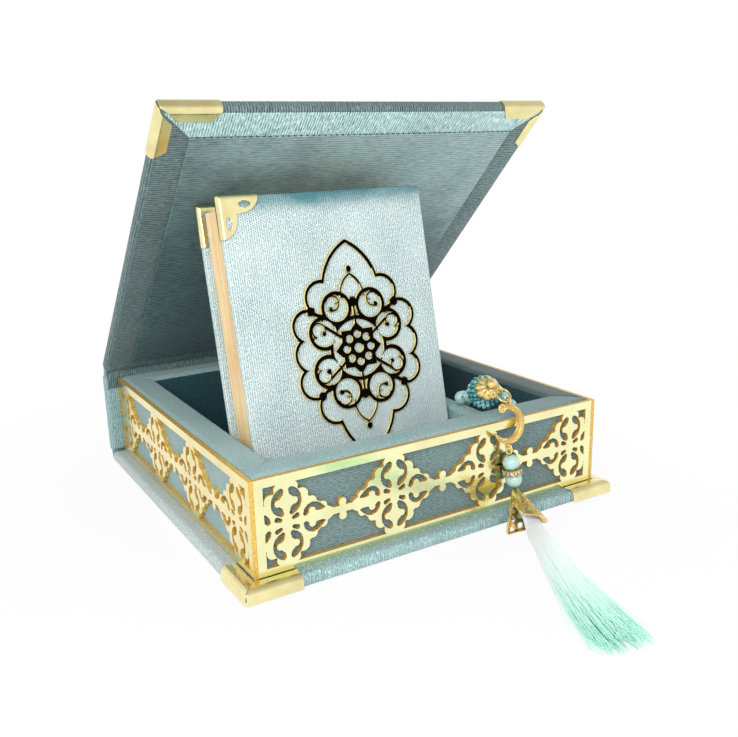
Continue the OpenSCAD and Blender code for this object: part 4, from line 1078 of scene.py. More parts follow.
class GiltCorners(PieceOperator, bpy.types.Operator):
    """Press the gilt corners of case and book"""

    bl_idname = "quran_box.gilt_corners"
    bl_label = "Gilt corners"

    def profile(self, thick, edge, tab, far_tab, proud, low=None):
        """Inset and height of a pressed sheet: from the tab on the near face, round the edge, to the far tab.

        Without a far tab the sheet ends on the edge at height low.
        """
        turn = np.linspace(0, math.pi / 2, 9)
        reach = edge + proud
        near = np.linspace(tab, edge, 14)[:-1]
        inset = [near, edge - reach * np.sin(turn)]
        height = [thick + proud + 0 * near, thick - edge + reach * np.cos(turn)]
        if far_tab:
            far = np.linspace(edge, far_tab, 14)[1:]
            inset += [edge - reach * np.cos(turn), far]
            height += [edge - reach * np.sin(turn), -proud + 0 * far]
        else:
            inset.append(np.full(3, -proud))
            height.append(np.linspace(thick - edge, low, 4)[1:])
        return np.concatenate(inset), np.concatenate(height)

    def corner(self, name, inset, height, start, end, to_frame, material, body, node, hole=None):
        """Pressed corner: the profile is carried along both edges of the board, from mitre to legs' ends.

        start and end say for each point of the profile where the leg begins and ends. A hole is an oval, with
        its place along the leg and in from the edge and its half sizes, cut where the sheet lies on the near
        face.
        """
        share = np.linspace(0, 1, 61)
        along = start[:, None] + share * (end - start)[:, None]
        inset, height = (np.repeat(k[:, None], len(share), 1) for k in (inset, height))
        faces = grid_faces(*along.shape)
        if hole:
            place, deep, half_along, half_deep = hole
            gap = ((along - place) / half_along) ** 2 + ((inset - deep) / half_deep) ** 2
            gap = gap + 9.0 * (height < height.max() - 0.05)
            faces = faces[cell_means(gap).ravel() > 1.0]
        legs = np.concatenate([np.stack([along, inset, height], -1).reshape(-1, 3),
                               np.stack([inset, along, height], -1).reshape(-1, 3)])
        faces = repeat_faces(faces, along.size, 2)
        piece = make_piece(name, to_frame(legs), faces, material, body, weld=0.02)
        thicken(piece, "sheet", GILT_T)
        break_edges(piece, "soft edge", GILT_SOFT, 2)
        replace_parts(piece, node)

    def base_corners(self, gilt):
        """Corners of the base board's front edge."""
        half, front = BASE_HIGH[0], BASE_LOW[1]
        inset, height = self.profile(BASE_HIGH[2], BASE_EDGE_R, 5.4, 0.0, GILT_PROUD, low=0.3)
        start = np.maximum(inset, 0.0) + 0.1
        end = BASE_LEG + 0 * inset
        for name, side in (("base_corner_left", -1), ("base_corner_right", 1)):
            def to_base(p, side=side):
                return np.stack([side * (half - p[:, 0]), front + p[:, 1], p[:, 2]], -1)
            self.corner(name + "_gilt", inset, height, start, end, to_base, gilt, "box", name)

    def lid_corners(self, gilt):
        """Corners of the lid: the tabs of the inner face stand apart and their ends slant."""
        half = BASE_HIGH[0]
        inset, height = self.profile(LID_T, LID_EDGE_R, 5.8, 5.8, GILT_PROUD)
        on_face = np.clip((height - LID_T / 2) / (LID_T / 2), 0, 1)
        start = np.maximum(inset, 0.0) + 0.05 + 1.5 * on_face**2 * np.clip(inset / 2 + 0.3, 0, 1)
        end = LID_LEG - 0.7 * np.maximum(inset - 1.0, 0.0) * on_face
        for name, side in (("lid_corner_left", 1), ("lid_corner_right", -1)):
            def to_lid(p, side=side):
                on_lid = [side * (half - p[:, 0]), LID_LENGTH - p[:, 1], LID_T - p[:, 2]]
                return lid_place(np.stack(on_lid, -1))
            self.corner(name + "_gilt", inset, height, start, end, to_lid, gilt, "lid", name)

    def book_corners(self, gilt):
        """Corners of the covers: each leg is an ear with an oval hole, with a lip beside the pages."""
        inset, height = self.profile(COVER_T, COVER_FOOT_R, EAR_W, 2.4, EAR_PROUD)
        start = np.maximum(inset, 0.0) + 0.02
        bow = np.sqrt(np.clip(1 - (np.clip(inset, 0, EAR_W) / EAR_W) ** 2, 0, 1))
        end = EAR_LEG * (0.46 + 0.54 * np.where(height > COVER_T / 2, bow, 1.0))
        hole = (EAR_LEG * 0.64, EAR_W * 0.48, 2.6, 1.25)
        for cover, body in (("front", "book_front"), ("back", "book")):
            for spot in ("head", "foot"):
                def to_book(p, spot=spot, cover=cover):
                    y = BOOK_H - p[:, 1] if spot == "head" else p[:, 1]
                    z = BOOK_T - COVER_T + p[:, 2] if cover == "front" else COVER_T - p[:, 2]
                    return book_place(np.stack([p[:, 0], y, z], -1))
                self.corner(f"{cover}_{spot}_gilt", inset, height, start, end, to_book, gilt, body,
                            f"{cover}_corner_{spot}", hole)

    def make(self, scene):
        gilt = gilt_finish("pressed_gilt", scene.box_gilt.metal, 0.2)
        self.base_corners(gilt)
        self.lid_corners(gilt)
        self.book_corners(gilt)


class Book(PieceOperator, bpy.types.Operator):
    """Bind the book: covers, rounded spine and page block"""

    bl_idname = "quran_box.book"
    bl_label = "Book"

    def cover(self, name, low, cloth, body, node):
        """Cloth-covered board from a height over the back cover's outside."""
        points, faces, uv = covered_board(BOOK_W / 2, BOOK_H / 2, COVER_T, COVER_FOOT_R, 0.8)
        points = book_place(points + [BOOK_W / 2, BOOK_H / 2, low])
        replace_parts(make_piece(name, points, faces, cloth, body, uv), node)

    def round_back(self, cloth):
        """Round back between the covers, a bow of a circle in plan."""
        rise = np.linspace(COVER_T + 0.35, BOOK_T - COVER_T - 0.35, 25)
        share = (rise - rise[0]) / (rise[-1] - rise[0])
        bow = np.stack([BOOK_W - 1.6 + 1.5 * np.sin(math.pi * share) ** 0.7, rise], -1)
        inside = np.stack([BOOK_W - 2.8 + 0 * rise[::3], rise[::-3]], -1)
        section = np.concatenate([bow, inside])
        swept = sweep_along(section, np.linspace(0.6, BOOK_H - 0.6, 41))
        run = np.broadcast_to(run_length(section)[None], swept.shape[:2])
        points = book_place(swept[..., [0, 2, 1]])
        uv = np.stack([run, swept[..., 2]], -1)
        faces = grid_faces(*swept.shape[:2], wrap_cols=True)
        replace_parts(make_piece("round_back", points, faces, cloth, "book", uv), "book_spine")

    def pages(self, s):
        """Leaves as a ridge each, their edges standing a little in or out and the fore edge hollow."""
        rng = np.random.default_rng(11)
        rows = 2 * s.leaves + 1
        height = np.linspace(PAGES_LOW[2], PAGES_HIGH[2], rows)
        inset = np.where(np.arange(rows) % 2 == 1, 0.0, 0.16)
        inset = inset + np.repeat(rng.random(s.leaves + 1) * 0.12, 2)[:rows]
        size = (PAGES_HIGH - PAGES_LOW)[:2] / 2
        deep = size.min()
        inset = np.concatenate([[deep], inset, [deep]])
        height = np.concatenate([height[:1], height, height[-1:]])
        plan = ring_plan(size[0], size[1], 0.4, inset, 40, 2)
        hollow = 1 - ((height - height.mean()) / (height[-1] - height[0]) * 2) ** 2
        rise = np.broadcast_to(height[:, None, None], plan.shape[:2] + (1,))
        points = np.concatenate([plan, rise], -1)
        points[..., 0] += 0.7 * hollow[:, None] * (plan[..., 0] < -size[0] + 1.0)
        points[..., :2] += (PAGES_LOW + PAGES_HIGH)[:2] / 2
        around = np.linspace(0, 400, plan.shape[1])
        uv = np.stack(np.broadcast_arrays(around[None], height[:, None]), -1)
        finish = page_finish("page_edge", s.page_light, s.page_dark)
        pages = make_piece("leaves", book_place(points), grid_faces(*plan.shape[:2], wrap_cols=True), finish,
                           "book", uv, crease=60)
        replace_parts(pages, "page_block")

    def medallion(self, scene):
        """The medallion's own shape, merged, with its edges broken so that they show as a gilt line."""
        s = scene.box_gilt
        work = bmesh.new()
        work.from_mesh(FRAME["nodes"]["medallion"].data)
        bmesh.ops.remove_doubles(work, verts=work.verts, dist=0.005 * MM)
        bmesh.ops.dissolve_limit(work, angle_limit=math.radians(1), verts=work.verts, edges=work.edges)
        bmesh.ops.triangulate(work, faces=[f for f in work.faces if len(f.verts) > 40])
        mesh = bpy.data.meshes.new("medallion_plate")
        work.to_mesh(mesh)
        work.free()
        mesh.materials.clear()
        # Painted reflection: the mirror face is near black for what it reflects, with gilt cut edges
        mesh.materials.append(cut_sheet_finish("medallion_mirror", s.painted_dark_reflection, s.finding, "Y", 0.1, 0.3))
        plate = bpy.data.objects.new("medallion_plate", mesh)
        scene.collection.objects.link(plate)
        break_edges(plate, "broken edge", 0.3, 1).use_clamp_overlap = False
        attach(plate, "book_front")
        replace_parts(plate, "medallion")

    def make(self, scene):
        s = scene.box_book
        weave = {"dots": 0.66, "ribs": 0.1, "turn": math.pi / 2, "glint": 0.8, "drawn": 1.5}
        pitch = scene.box_cloth.rib_pitch
        cloth = cloth_finish("cover_cloth", s.light, s.dark, pitch, **weave)
        # Painted shade: a teal band along the front cover's head, where the padded edge turns away from the
        # light
        front_cloth = cloth_finish("front_cover_cloth", s.light, s.dark, pitch, **weave,
                                   brushed_and_painted_light=(0.0, 0.53 * BOOK_H, 120.0, 14.0, s.brushed_and_painted_light))
        self.cover("front_cover", BOOK_T - COVER_T, front_cloth, "book_front", "book_front_cover")
        self.cover("back_cover", 0.0, cloth, "book", "book_back_cover")
        self.round_back(cloth)
        self.pages(s)
        self.medallion(scene)


class PearlStrand(PieceOperator, bpy.types.Operator):
    """String the pearls that lie in the small compartment"""

    bl_idname = "quran_box.pearl_strand"
    bl_label = "Pearl strand"

    def route(self, pearl_d):
        """Line of the string: from the ball over the divider, round the floor and up to the ball again."""
        left, right = DIVIDER_HIGH[0], TRAY_HIGH[0] - WALL_T
        top, rim, floor = DIVIDER_HIGH[2], TRAY_HIGH[2], FLOOR_TOP
        low = floor + pearl_d / 2 + 0.2
        back = BALL[1]
        knots = np.array([
            BALL + [0.6, 10.6, -4.4], [DIVIDER_LOW[0] + 5, back + 17, top + pearl_d / 2 + 0.4],
            [left + 3.4, back + 22.5, top + 0.6], [left + 6.5, back + 30, rim - 12],
            [left + 7.5, back + 40, floor + 11], [left + 8, back + 52, low], [left + 8, back + 66, low],
            [left + 11, back + 77, low], [(left + right) / 2, back + 82, low], [right - 9, back + 76, low],
            [right - 7, back + 64, low], [right - 7, back + 46, low], [right - 7.5, back + 33, floor + 7],
            [right - 9, back + 20, floor + 18], [right - 12, back + 10, rim - 11],
            [right - 18, back + 4.2, rim - 2], BALL + [12.6, 4, -4.6], BALL + [9.6, 4.4, -2.4]])
        curve = smooth_line(knots, 10)[:-1]
        curve[:, 2] = np.maximum(curve[:, 2], low)
        return curve

    def make(self, scene):
        s = scene.box_beads
        curve = self.route(s.pearl_d)
        count = int(run_length(curve)[-1] // s.pearl_pitch) + 1
        spots = even_steps(curve, count)
        pearl, faces = drilled_pearl(s.pearl_d, 0.6, 18, 24)
        points = aim(pearl, spots, unit(np.gradient(spots, axis=0)))
        faces = repeat_faces(faces, points.shape[1], count)
        finish = pearl_finish("pearl_nacre", s.pearl)
        pearls = make_piece("strung_pearls", points, faces, finish, "box")
        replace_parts(pearls, "pearl_strand")
        line = even_steps(spots, 6 * count)
        points, faces = tube(line, THREAD_D / 2, 8)
        silk = silk_finish("thread_silk", (0.75, 0.8, 0.78), (0.5, 0.6, 0.58))
        thread = make_piece("strand_thread", points, faces, silk, "box", tone=np.zeros(len(points)))


class BeadBall(PieceOperator, bpy.types.Operator):
    """Cover the ball with seed beads and set its flower cap and gilt bead"""

    bl_idname = "quran_box.bead_ball"
    bl_label = "Bead ball"

    def seeds(self, s):
        """Seed beads in rows round the ball, each a little askew, on a wound core with thread ridges."""
        rng = np.random.default_rng(5)
        reach = BALL_D / 2 - 0.85
        tilt = np.radians(np.arange(12.0, 176.0, SEED_ROW_DEG))
        each = np.maximum(1, np.floor(2 * math.pi * reach * np.sin(tilt) / SEED_PITCH)).astype(int)
        row = np.repeat(np.arange(len(tilt)), each)
        place = np.concatenate([np.arange(n) / n for n in each]) * 2 * math.pi + row * 0.7
        direction = polar(1.0, tilt[row], place)
        around = np.stack([-np.sin(place), np.cos(place), 0 * place], -1)
        turned = np.cross(direction, around)
        skew = rng.normal(0, 0.25, len(row))[:, None]
        axis = unit(around * np.cos(skew) + turned * np.sin(skew))
        spots = aim(direction * (reach + rng.normal(0, 0.08, len(row))[:, None]), BALL, CAP_DIR)[0]
        axis = aim(axis, np.zeros(3), CAP_DIR)[0]
        loop = np.linspace(0, 2 * math.pi, 8, endpoint=False)
        ring = np.stack([SEED_LOOP + SEED_THICK * np.cos(loop), SEED_HALF * np.sin(loop)], -1)
        bead, faces = revolve(ring, 9)
        points = aim(bead, spots, axis)
        tone = np.repeat(rng.random(len(row)), points.shape[1])
        finish = seed_finish("seed_glass", s.seed, s.seed_light)
        faces = repeat_faces(faces, points.shape[1], len(row))
        beads = make_piece("seed_beads", points, faces, finish, "box", tone=tone)
        rise = np.linspace(0, math.pi, 60)
        core = reach - 0.55 + 0.12 * np.sin(30 * rise)
        wound, faces = revolve(np.stack([core * np.sin(rise) + 1e-4, core * np.cos(rise)], -1), 40)
        points = aim(wound, BALL, CAP_DIR)
        tone = np.full(points.shape[1], 0.1)
        make_piece("ball_core", points, faces, finish, "box", tone=tone)
        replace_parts(beads, "bead_ball")

    def cap(self, gilt):
        """Flower cap: a bowl on the ball whose rim runs in eight petals, each hollowed along its middle."""
        turn = np.linspace(0, 2 * math.pi, 144, endpoint=False)[None]
        out = np.linspace(0.0, 1.0, 14)[:, None]
        petal = np.abs(np.cos(4 * turn))
        rim = 0.62 + 0.2 * np.sqrt(petal)
        lift = BALL_D / 2 + 0.35 + 0.35 * petal * np.sin(math.pi * out) - 0.3 * (1 - petal) * out
        points = aim(polar(lift, rim * out, turn), BALL, CAP_DIR)
        piece = make_piece("flower_cap", points, grid_faces(14, 144, wrap_cols=True), gilt, "box",
                           weld=0.01)
        thicken(piece, "sheet", CAP_T)
        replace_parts(piece, "ball_cap")

    def melon(self, gilt):
        """Melon bead: a sphere with twelve flutes from hole to hole."""
        turn = np.linspace(0, 2 * math.pi, 96, endpoint=False)[None]
        rise = np.linspace(0.12, math.pi - 0.12, 24)[:, None]
        swell = CAP_BEAD_D / 2 * (1 - 0.09 * np.abs(np.sin(6 * turn)) ** 0.6 * np.sin(rise))
        melon = polar(swell, rise, turn)
        melon = np.concatenate([melon, [melon[-1] * [0.2, 0.2, 1]], [melon[0] * [0.2, 0.2, 1]]])
        faces = grid_faces(26, 96, wrap_rows=True, wrap_cols=True)
        make_piece("melon_bead", aim(melon, CAP_BEAD, CAP_DIR), faces, gilt, "box")

    def make(self, scene):
        gilt = gilt_finish("finding_gilt", scene.box_gilt.finding, 0.2, 2.0)
        self.seeds(scene.box_beads)
        self.cap(gilt)
        self.melon(gilt)
        dress(["cap_bead", "link_ring", "drop_pin"], gilt)


class Pendant(PieceOperator, bpy.types.Operator):
    """Bend the grained crescent and thread the hanging pearls and the crystal rondelle"""

    bl_idname = "quran_box.pendant"
    bl_label = "Pendant"

    def crescent(self, gilt):
        """Crescent: a round bar bent to a circle, thickest at its belly, with grains all over.

        It has an eye at its upper horn and a wire loop above and below.
        """
        across = unit(np.cross(CHARM_DIR, [0, 1, 0]))
        face = unit(np.cross(across, CHARM_DIR))
        turn = np.linspace(-1, 1, 61)
        angle = CRESCENT_BELLY + math.radians(140) * turn
        thick = CRESCENT_BAR * (1 - 0.72 * np.abs(turn) ** 2.4)
        flat = np.stack([np.cos(angle), np.sin(angle)], -1) * (CRESCENT_R - thick)[:, None]
        bar = CHARM + flat[:, :1] * across - flat[:, 1:] * CHARM_DIR
        points, faces = tube(bar, thick, 16)
        crescent = make_piece("crescent_bar", points, faces, gilt, "box")
        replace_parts(crescent, "crescent_charm")
        angle = np.linspace(0, 2 * math.pi, 32, endpoint=False)[:, None]
        eye = bar[-4] + LOOP_R * (np.cos(angle) * across - np.sin(angle) * CHARM_DIR)
        points, faces = tube(eye, EYE_WIRE_R, 10, close=True)
        make_piece("crescent_eye", points, faces, gilt, "box")
        wire = LOOP_R * (np.cos(angle) * CHARM_DIR + np.sin(angle) * face)
        loops = CHARM + np.array([-1, 1])[:, None, None] * (CRESCENT_R + LOOP_R) * CHARM_DIR + wire
        points, faces = tube(loops, WIRE_R, 10, close=True)
        make_piece("crescent_loops", points, faces, gilt, "box")
        spot, row = np.meshgrid(np.arange(2, 59), np.arange(8), indexing="ij")
        spot, row = spot.ravel(), row.ravel()
        round_bar = (row + 0.5 * (spot % 2)) * math.pi / 4
        outward = unit(bar - CHARM)[spot] * np.cos(round_bar)[:, None] + face * np.sin(round_bar)[:, None]
        rise = np.linspace(0, math.pi, 5)
        grain, faces = revolve(np.stack([GRAIN_R * np.sin(rise) + 1e-4, GRAIN_R * np.cos(rise)], -1), 7)
        points = aim(grain, bar[spot] + outward * thick[spot][:, None], outward)
        faces = repeat_faces(faces, points.shape[1], len(spot))
        make_piece("crescent_grains", points, faces, gilt, "box")

    def pearls(self):
        """Two pearls on the pin."""
        pearl, faces = drilled_pearl(DROP_PEARL_D, 0.8, 28, 40)
        finish = bpy.data.materials["pearl_nacre"]
        for name, centre in (("pearl_upper", PEARL_UPPER), ("pearl_lower", PEARL_LOWER)):
            points = aim(pearl, centre, PIN_DIR)
            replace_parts(make_piece("hanging_" + name, points, faces, finish, "box"), name)

    def rondelle(self, gilt):
        """Rondelle: two wavy gilt flanges with a waist, and crystals set round the waist."""
        turn = np.linspace(0, 2 * math.pi, 112, endpoint=False)[None]
        profile = np.array([[2.5, -1.2], [3.9, -1.2], [4.2, -1.05], [4.2, -0.75], [3.3, -0.6], [3.1, 0.0],
                            [3.3, 0.6], [4.2, 0.75], [4.2, 1.05], [3.9, 1.2], [2.5, 1.2]])
        ripple = 1 + 0.022 * np.cos(14 * turn) * (profile[:, :1] > 3.8)
        ring, faces = revolve(profile, 112, ripple)
        piece = make_piece("rondelle_ring", aim(ring, RONDELLE, PIN_DIR), faces, gilt, "box")
        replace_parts(piece, "rondelle")
        out = polar(1.0, math.pi / 2, np.linspace(0, 2 * math.pi, 14, endpoint=False))
        stone, faces = revolve([[0.01, 0.75], [0.42, 0.75], [0.72, 0.45], [0.72, 0.35], [0.01, -0.35]], 8)
        stones = aim(stone, out * 3.45, out)
        faces = repeat_faces(faces, stones.shape[1], len(stones))
        points = aim(stones, RONDELLE, PIN_DIR)
        make_piece("rondelle_stones", points, faces, crystal_finish("crystal"), "box", crease=10)

    def make(self, scene):
        gilt = bpy.data.materials["finding_gilt"]
        self.crescent(gilt)
        self.pearls()
        self.rondelle(gilt)


class Tassel(PieceOperator, bpy.types.Operator):
    """Shape the pierced petal cone, wind the tassel's neck and lay its silk threads"""

    bl_idname = "quran_box.tassel"
    bl_label = "Tassel"

    def on_cone(self, along, angle):
        """Points of the cone's skin: the radius grows from neck to mouth, with a flare.

        The petals' middles stand to the left and right.
        """
        radius = CONE_NECK_R + (CONE_R - CONE_NECK_R) * (0.88 * along + 0.12 * along**3)
        skin = np.stack([radius * np.cos(angle), radius * np.sin(angle), CONE_LEN * along + 0 * angle], -1)
        points = aim(skin, CONE_TIP, PETAL_DIR, np.cross(PETAL_SIDE, PETAL_DIR))
        points[..., 2] = np.maximum(points[..., 2], 0.6)
        return points

    def petals(self, gilt):
        """Two petals, whole round the tip and tongues at the mouth, pierced by round and leaf-shaped holes.

        A hole's row is its place along the cone and across the petal, then its half sizes.
        """
        along = np.linspace(0.0, 1.0, 91)[:, None]
        side = np.linspace(-1.0, 1.0, 81)[None]
        spread = math.pi / 2 * (1 - 0.44 * np.clip((along - 0.4) / 0.6, 0, 1))
        tongue = np.sqrt(np.clip(1 - np.clip((along - 0.84) / 0.165, 0, 1) ** 2.4, 0, 1))
        half = spread * tongue
        holes = np.array([[0.26, 0.0, 0.028, 0.3], [0.42, 0.0, 0.05, 0.24], [0.62, 0.0, 0.07, 0.2],
                          [0.84, 0.0, 0.075, 0.24], [0.5, 0.48, 0.06, 0.13], [0.5, -0.48, 0.06, 0.13],
                          [0.72, 0.5, 0.075, 0.16], [0.72, -0.5, 0.075, 0.16]])
        gap = ((along[..., None] - holes[:, 0]) / holes[:, 2]) ** 2
        gap = gap + ((side[..., None] - holes[:, 1]) / holes[:, 3]) ** 2
        faces = grid_faces(91, 81)[(cell_means(gap.min(-1)) > 1.0).ravel()]
        round_hole = np.linspace(0, 2 * math.pi, 28, endpoint=False)
        rim_along = holes[:, :1] + holes[:, 2:3] * np.cos(round_hole)
        rim_side = holes[:, 1:2] + holes[:, 3:] * np.sin(round_hole)
        rim_angle = rim_side * np.interp(rim_along, along[:, 0], half[:, 0])
        edge_run = np.linspace(0.3, 1.0, 60)
        edge = np.interp(edge_run, along[:, 0], half[:, 0])
        for number, centre in ((1, 0.0), (2, math.pi)):
            points = self.on_cone(along, half * side + centre)
            petal = make_piece(f"cone_petal_{number}", points, faces, gilt, "box", weld=0.004)
            thicken(petal, "sheet", PETAL_T)
            rims = self.on_cone(rim_along, rim_angle + centre).reshape(len(holes), -1, 3)
            points, rim_faces = tube(rims, PETAL_RIM_R, 7, close=True)
            make_piece(f"cone_rims_{number}", points, rim_faces, gilt, "box")
            outline = np.concatenate([self.on_cone(edge_run, centre - edge)[0],
                                      self.on_cone(edge_run, centre + edge)[0, ::-1]])
            points, edge_faces = tube(outline, PETAL_EDGE_R, 8)
            make_piece(f"cone_edge_{number}", points, edge_faces, gilt, "box")
            if number == 1:
                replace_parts(petal, "petal_cone")

    def neck(self, silk):
        """Wound neck: a round collar with a ridge for each turn of thread."""
        rise = np.linspace(0.0, 1.0, 60)
        ridge = 0.14 * np.abs(np.sin(11 * math.pi * rise))
        radius = 3.0 - 0.1 + ridge - 1.2 * np.clip(0.08 - np.minimum(rise, 1 - rise), 0, 1) * 10
        profile = np.stack([radius, CONE_LEN * (0.45 + 0.3 * rise)], -1)
        profile = np.concatenate([profile, [[0.01, profile[-1, 1]], [0.01, profile[0, 1]]]])
        collar, faces = revolve(profile, 40)
        points = aim(collar, CONE_TIP, CONE_DIR)
        tone = np.full(points.shape[1], 0.35)
        collar = make_piece("neck_winding", points, faces, silk, "box", tone=tone)
        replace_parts(collar, "tassel_neck")

    def bundle(self, s):
        """Bundle of threads: its middle, half width and half height, as it widens and lies down.

        A row of gone is the way to the left and ahead in lengths, then the width and height in shares.
        """
        gone = np.array([[0.07, 0.21, 0.38, 0.45], [0.115, 0.31, 0.47, 0.5], [0.17, 0.42, 0.58, 0.49],
                         [0.23, 0.56, 0.72, 0.45], [0.285, 0.7, 0.85, 0.4], [0.325, 0.83, 0.95, 0.36],
                         [0.36, 0.95, 1.0, 0.31]])
        left, ahead, wide, high = gone.T
        lying = np.stack([CONE_TIP[0] - left * s.length, CONE_TIP[1] - ahead * s.length,
                          high * s.height + 0.3, wide * s.width / 2, high * s.height], -1)
        start = [np.concatenate([CONE_TIP + CONE_DIR * CONE_LEN * place, [half, 2.9]])
                 for place, half in ((0.7, 2.7), (0.95, 3.4))]
        return even_steps(smooth_line(np.concatenate([start, lying]), 6), 26)

    def body(self, bundle, level, silk, rng):
        """Silk under the threads: the bundle's own oval, drawn in a little, with a groove for each lock."""
        around = np.linspace(0, 2 * math.pi, 180, endpoint=False)
        lock = 0.93 + 0.03 * np.sin(around * 17) + 0.015 * np.sin(around * 41 + 1.0)
        taper = np.sqrt(1 - np.clip(np.linspace(-1.2, 1, 22), 0, 1) ** 2)
        close = np.concatenate([[0.0], taper, [0.0, 0.0, 0.0]])[:, None] * lock
        aside = np.cos(around) * close * bundle[:, 3:4]
        points = bundle[:, None, :3] + aside[..., None] * level[:, None]
        points[..., 2] += np.sin(around) * close * bundle[:, 4:5] * 0.95
        points[..., 2] = np.maximum(points[..., 2], 0.4)
        tone = 0.1 + 0.45 * np.linspace(0, 1, 26)[:, None] ** 2.4 + 0.08 * np.repeat(rng.random(60), 3)
        make_piece("tassel_body", points, grid_faces(26, 180, wrap_cols=True), silk, "box",
                   tone=tone, crease=80)

    def threads(self, s, bundle, level, silk, rng):
        """Threads: each keeps its place across the bundle while that widens, flattens and turns aside."""
        turn = rng.random(s.strands) * 2 * math.pi
        outer = rng.random(s.strands) < 0.6
        skin = 0.93 + 0.09 * rng.random(s.strands)
        out = np.where(outer, skin, np.sqrt(rng.random(s.strands)))
        a, b = (out * np.cos(turn))[:, None], (out * np.sin(turn))[:, None]
        share = np.linspace(0, 1, 26)[None]
        run = share * (1 - 0.24 * rng.random(s.strands)[:, None] ** 1.6)
        ride = [np.interp(run, share[0], bundle[:, k]) for k in range(5)]
        sideways = np.stack([np.interp(run, share[0], level[:, k]) for k in range(3)], -1)
        swings = rng.uniform(4, 11, (s.strands, 1))
        phase = rng.random((s.strands, 1)) * 6.3
        wave = 0.5 * share**1.5 * np.sin(share * swings + phase)
        stray = rng.normal(0, 1, (s.strands, 1)) * 2.0 * share**3
        points = np.stack(ride[:3], -1) + sideways * (a * ride[3] + wave + stray)[..., None]
        points[..., 2] += b * ride[4] * 0.95 + wave * 0.5
        points[..., 2] = np.maximum(points[..., 2], 0.45)
        points, faces = tube(points, 0.21 - 0.13 * share**3 + 0 * run, 3)
        tone = 0.6 * share**2.4 + rng.normal(0, 0.07, (s.strands, 1)) * (0.2 + share)
        tone = np.concatenate([tone[:, :1], tone, tone[:, -1:]], 1)
        tone = np.repeat(np.clip(tone, 0, 1).ravel(), 3)
        threads = make_piece("tassel_threads", points, faces, silk, "box", tone=tone, crease=80)
        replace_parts(threads, "tassel_skirt")

    def make(self, scene):
        s = scene.box_tassel
        self.petals(bpy.data.materials["finding_gilt"])
        silk = silk_finish("tassel_silk", s.light, s.dark)
        self.neck(silk)
        bundle = self.bundle(s)
        level = unit(np.cross(unit(np.gradient(bundle[:, :3], axis=0)), [0, 0, 1]))
        rng = np.random.default_rng(23)
        self.body(bundle, level, silk, rng)
        self.threads(s, bundle, level, silk, rng)


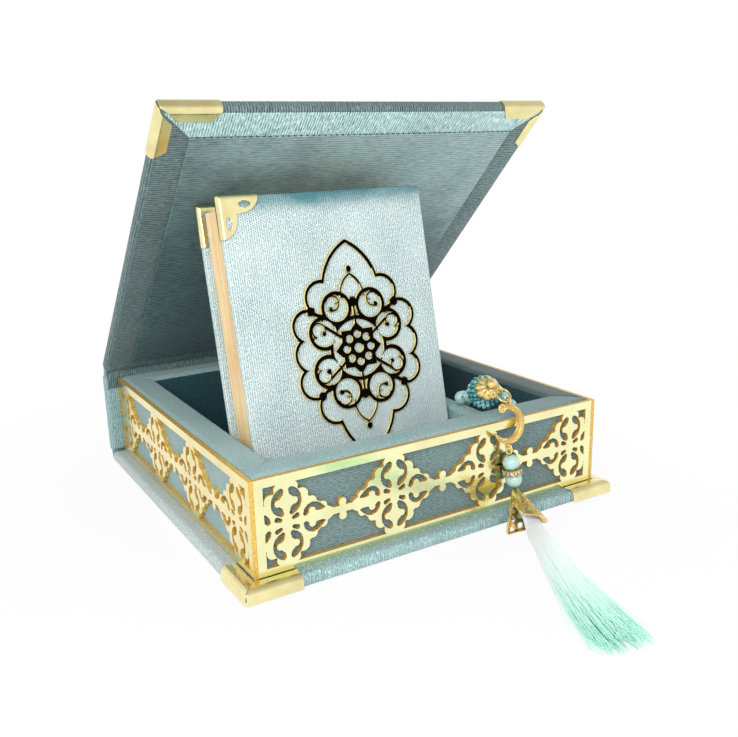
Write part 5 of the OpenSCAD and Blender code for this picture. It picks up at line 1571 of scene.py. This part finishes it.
class Stage(PieceOperator, bpy.types.Operator):
    """Set the floor, the light and the camera"""

    bl_idname = "quran_box.stage"
    bl_label = "Stage"

    def lamp(self, name, place, target, size, power, in_mirrors=False):
        """Soft lamp at a place, turned to its target. Only a lamp in mirrors shows as a highlight."""
        light = bpy.data.lights.new(name, "AREA")
        light.shape = "RECTANGLE"
        light.size, light.size_y = size
        light.energy = power
        lamp = bpy.data.objects.new(name, light)
        lamp.location = place
        lamp.rotation_euler = (Vector(target) - Vector(place)).to_track_quat("-Z", "Y").to_euler()
        lamp.visible_glossy = in_mirrors
        bpy.context.scene.collection.objects.link(lamp)

    def background_share(self, t):
        """One where a ray comes from the camera, or from a mirror or glass that the camera sees."""
        path = t.add("ShaderNodeLightPath").outputs
        straight = t.math("MAXIMUM", path["Is Camera Ray"], path["Is Glossy Ray"])
        straight = t.math("MAXIMUM", straight, path["Is Transmission Ray"])
        return t.math("MULTIPLY", straight, t.math("LESS_THAN", path["Diffuse Depth"], 0.5))

    def world(self, ambient):
        """Even light, and for the camera, mirrors and glass a white backdrop that darkens overhead."""
        t = Tree(bpy.data.worlds.new("studio"))
        light = t.feed(t.nodes["Background"], Color=(1.0, 1.0, 1.0), Strength=ambient)
        way = t.add("ShaderNodeTexCoord").outputs["Generated"]
        up = t.add("ShaderNodeSeparateXYZ", Vector=way).outputs["Z"]
        fade = t.add("ShaderNodeMapRange", Value=up, i1=0.3, i2=0.95, i3=1.0, i4=0.5).outputs[0]
        white = t.add("ShaderNodeBackground", Color=fade)
        choose = t.add("ShaderNodeMixShader", i0=self.background_share(t), i1=light.outputs[0],
                       i2=white.outputs[0])
        t.feed(t.nodes["World Output"], Surface=choose.outputs[0])
        return t.owner

    def floor(self):
        """Pale floor that takes shadows near the box and is white as the backdrop farther away."""
        t = new_finish("pale_floor")
        place = t.place()
        grain = t.ramp(t.noise(place, 900.0, 2.0), [(0.0, (0.9, 0.9, 0.9)), (1.0, (0.95, 0.95, 0.95))])
        t.feed(t.shader, Base_Color=grain, Roughness=0.7)
        glow = t.add("ShaderNodeEmission", Color=(1.0, 1.0, 1.0), Strength=1.0)
        away = t.add("ShaderNodeMapRange", Value=t.length(place), i1=0.1, i2=0.25, i3=0.9, i4=1.0).outputs[0]
        share = t.math("MULTIPLY", self.background_share(t), away)
        blend = t.add("ShaderNodeMixShader", i0=share, i1=t.shader.outputs[0], i2=glow.outputs[0])
        t.feed(t.nodes["Material Output"], Surface=blend.outputs[0])
        reach = np.linspace(-1, 1, 9) * 4000
        points = np.stack(np.broadcast_arrays(reach[None], reach[:, None], -0.15), -1)
        make_piece("floor", points, grid_faces(9, 9)[:, ::-1], t.owner)

    def camera(self, scene, s):
        """Camera that fits the box's edges in the photograph."""
        lens = bpy.data.cameras.new("camera")
        lens.sensor_width = 36.0
        lens.lens = s.focal * lens.sensor_width
        lens.clip_start = 0.01
        view = bpy.data.objects.new("camera", lens)
        turn = Matrix.Rotation(s.azimuth, 3, "Z") @ Matrix.Rotation(math.pi / 2 - s.elevation, 3, "X")
        turn = turn @ Matrix.Rotation(s.roll, 3, "Z")
        view.matrix_world = Matrix.Translation(s.place) @ turn.to_4x4()
        scene.collection.objects.link(view)
        scene.camera = view

    def make(self, scene):
        s = scene.box_stage
        scene.view_settings.view_transform = "Standard"
        scene.cycles.caustics_reflective = False
        scene.world = self.world(s.ambient)
        self.floor()
        self.lamp("key", (-0.38, -0.34, 0.35), (0, -0.02, 0.06), (0.3, 0.3), s.key)
        self.lamp("fill", (0.42, -0.62, 0.2), (0, 0, 0.08), (0.5, 0.3), s.fill)
        self.lamp("side", (0.3, -0.02, 0.04), (0.05, 0.0, 0.13), (0.16, 0.16), s.side)
        self.lamp("glint", (-0.16, -0.5, 0.3), (0, -0.05, 0.05), (0.2, 0.2), s.glint, True)
        self.camera(scene, s)


class BoxPanel(bpy.types.Panel):
    """Settings and pieces of the quran box"""

    bl_idname = "VIEW3D_PT_quran_box"
    bl_label = "Quran box"
    bl_space_type = "VIEW_3D"
    bl_region_type = "UI"
    bl_category = "Quran box"

    def draw(self, context):
        for name in SETTINGS:
            group = getattr(context.scene, name)
            box = self.layout.box()
            for key in group.__annotations__:
                box.prop(group, key)
        for operator in PIECES:
            self.layout.operator(operator.bl_idname)


SETTINGS = {
    "box_cloth": ClothSettings,
    "box_gilt": GiltSettings,
    "box_book": BookSettings,
    "box_beads": BeadSettings,
    "box_tassel": TasselSettings,
    "box_stage": StageSettings,
}
PIECES = (
    Stage, CaseBoards, CaseFolds, Tray, Lattices, GiltCorners, Book, PearlStrand, BeadBall, Pendant, Tassel,
)


def register():
    for name, group in SETTINGS.items():
        bpy.utils.register_class(group)
        setattr(bpy.types.Scene, name, PointerProperty(type=group))
    for operator in PIECES:
        bpy.utils.register_class(operator)
    bpy.utils.register_class(BoxPanel)


def unregister():
    bpy.utils.unregister_class(BoxPanel)
    for operator in reversed(PIECES):
        bpy.utils.unregister_class(operator)
    for name, group in SETTINGS.items():
        delattr(bpy.types.Scene, name)
        bpy.utils.unregister_class(group)


def main():
    """Makes every piece in order."""
    register()
    bpy.ops.quran_box.stage()
    bpy.ops.quran_box.case_boards()
    bpy.ops.quran_box.case_folds()
    bpy.ops.quran_box.tray()
    bpy.ops.quran_box.lattices()
    bpy.ops.quran_box.gilt_corners()
    bpy.ops.quran_box.book()
    bpy.ops.quran_box.pearl_strand()
    bpy.ops.quran_box.bead_ball()
    bpy.ops.quran_box.pendant()
    bpy.ops.quran_box.tassel()
    bpy.context.view_layer.update()


if __name__ == "__main__":
    main()
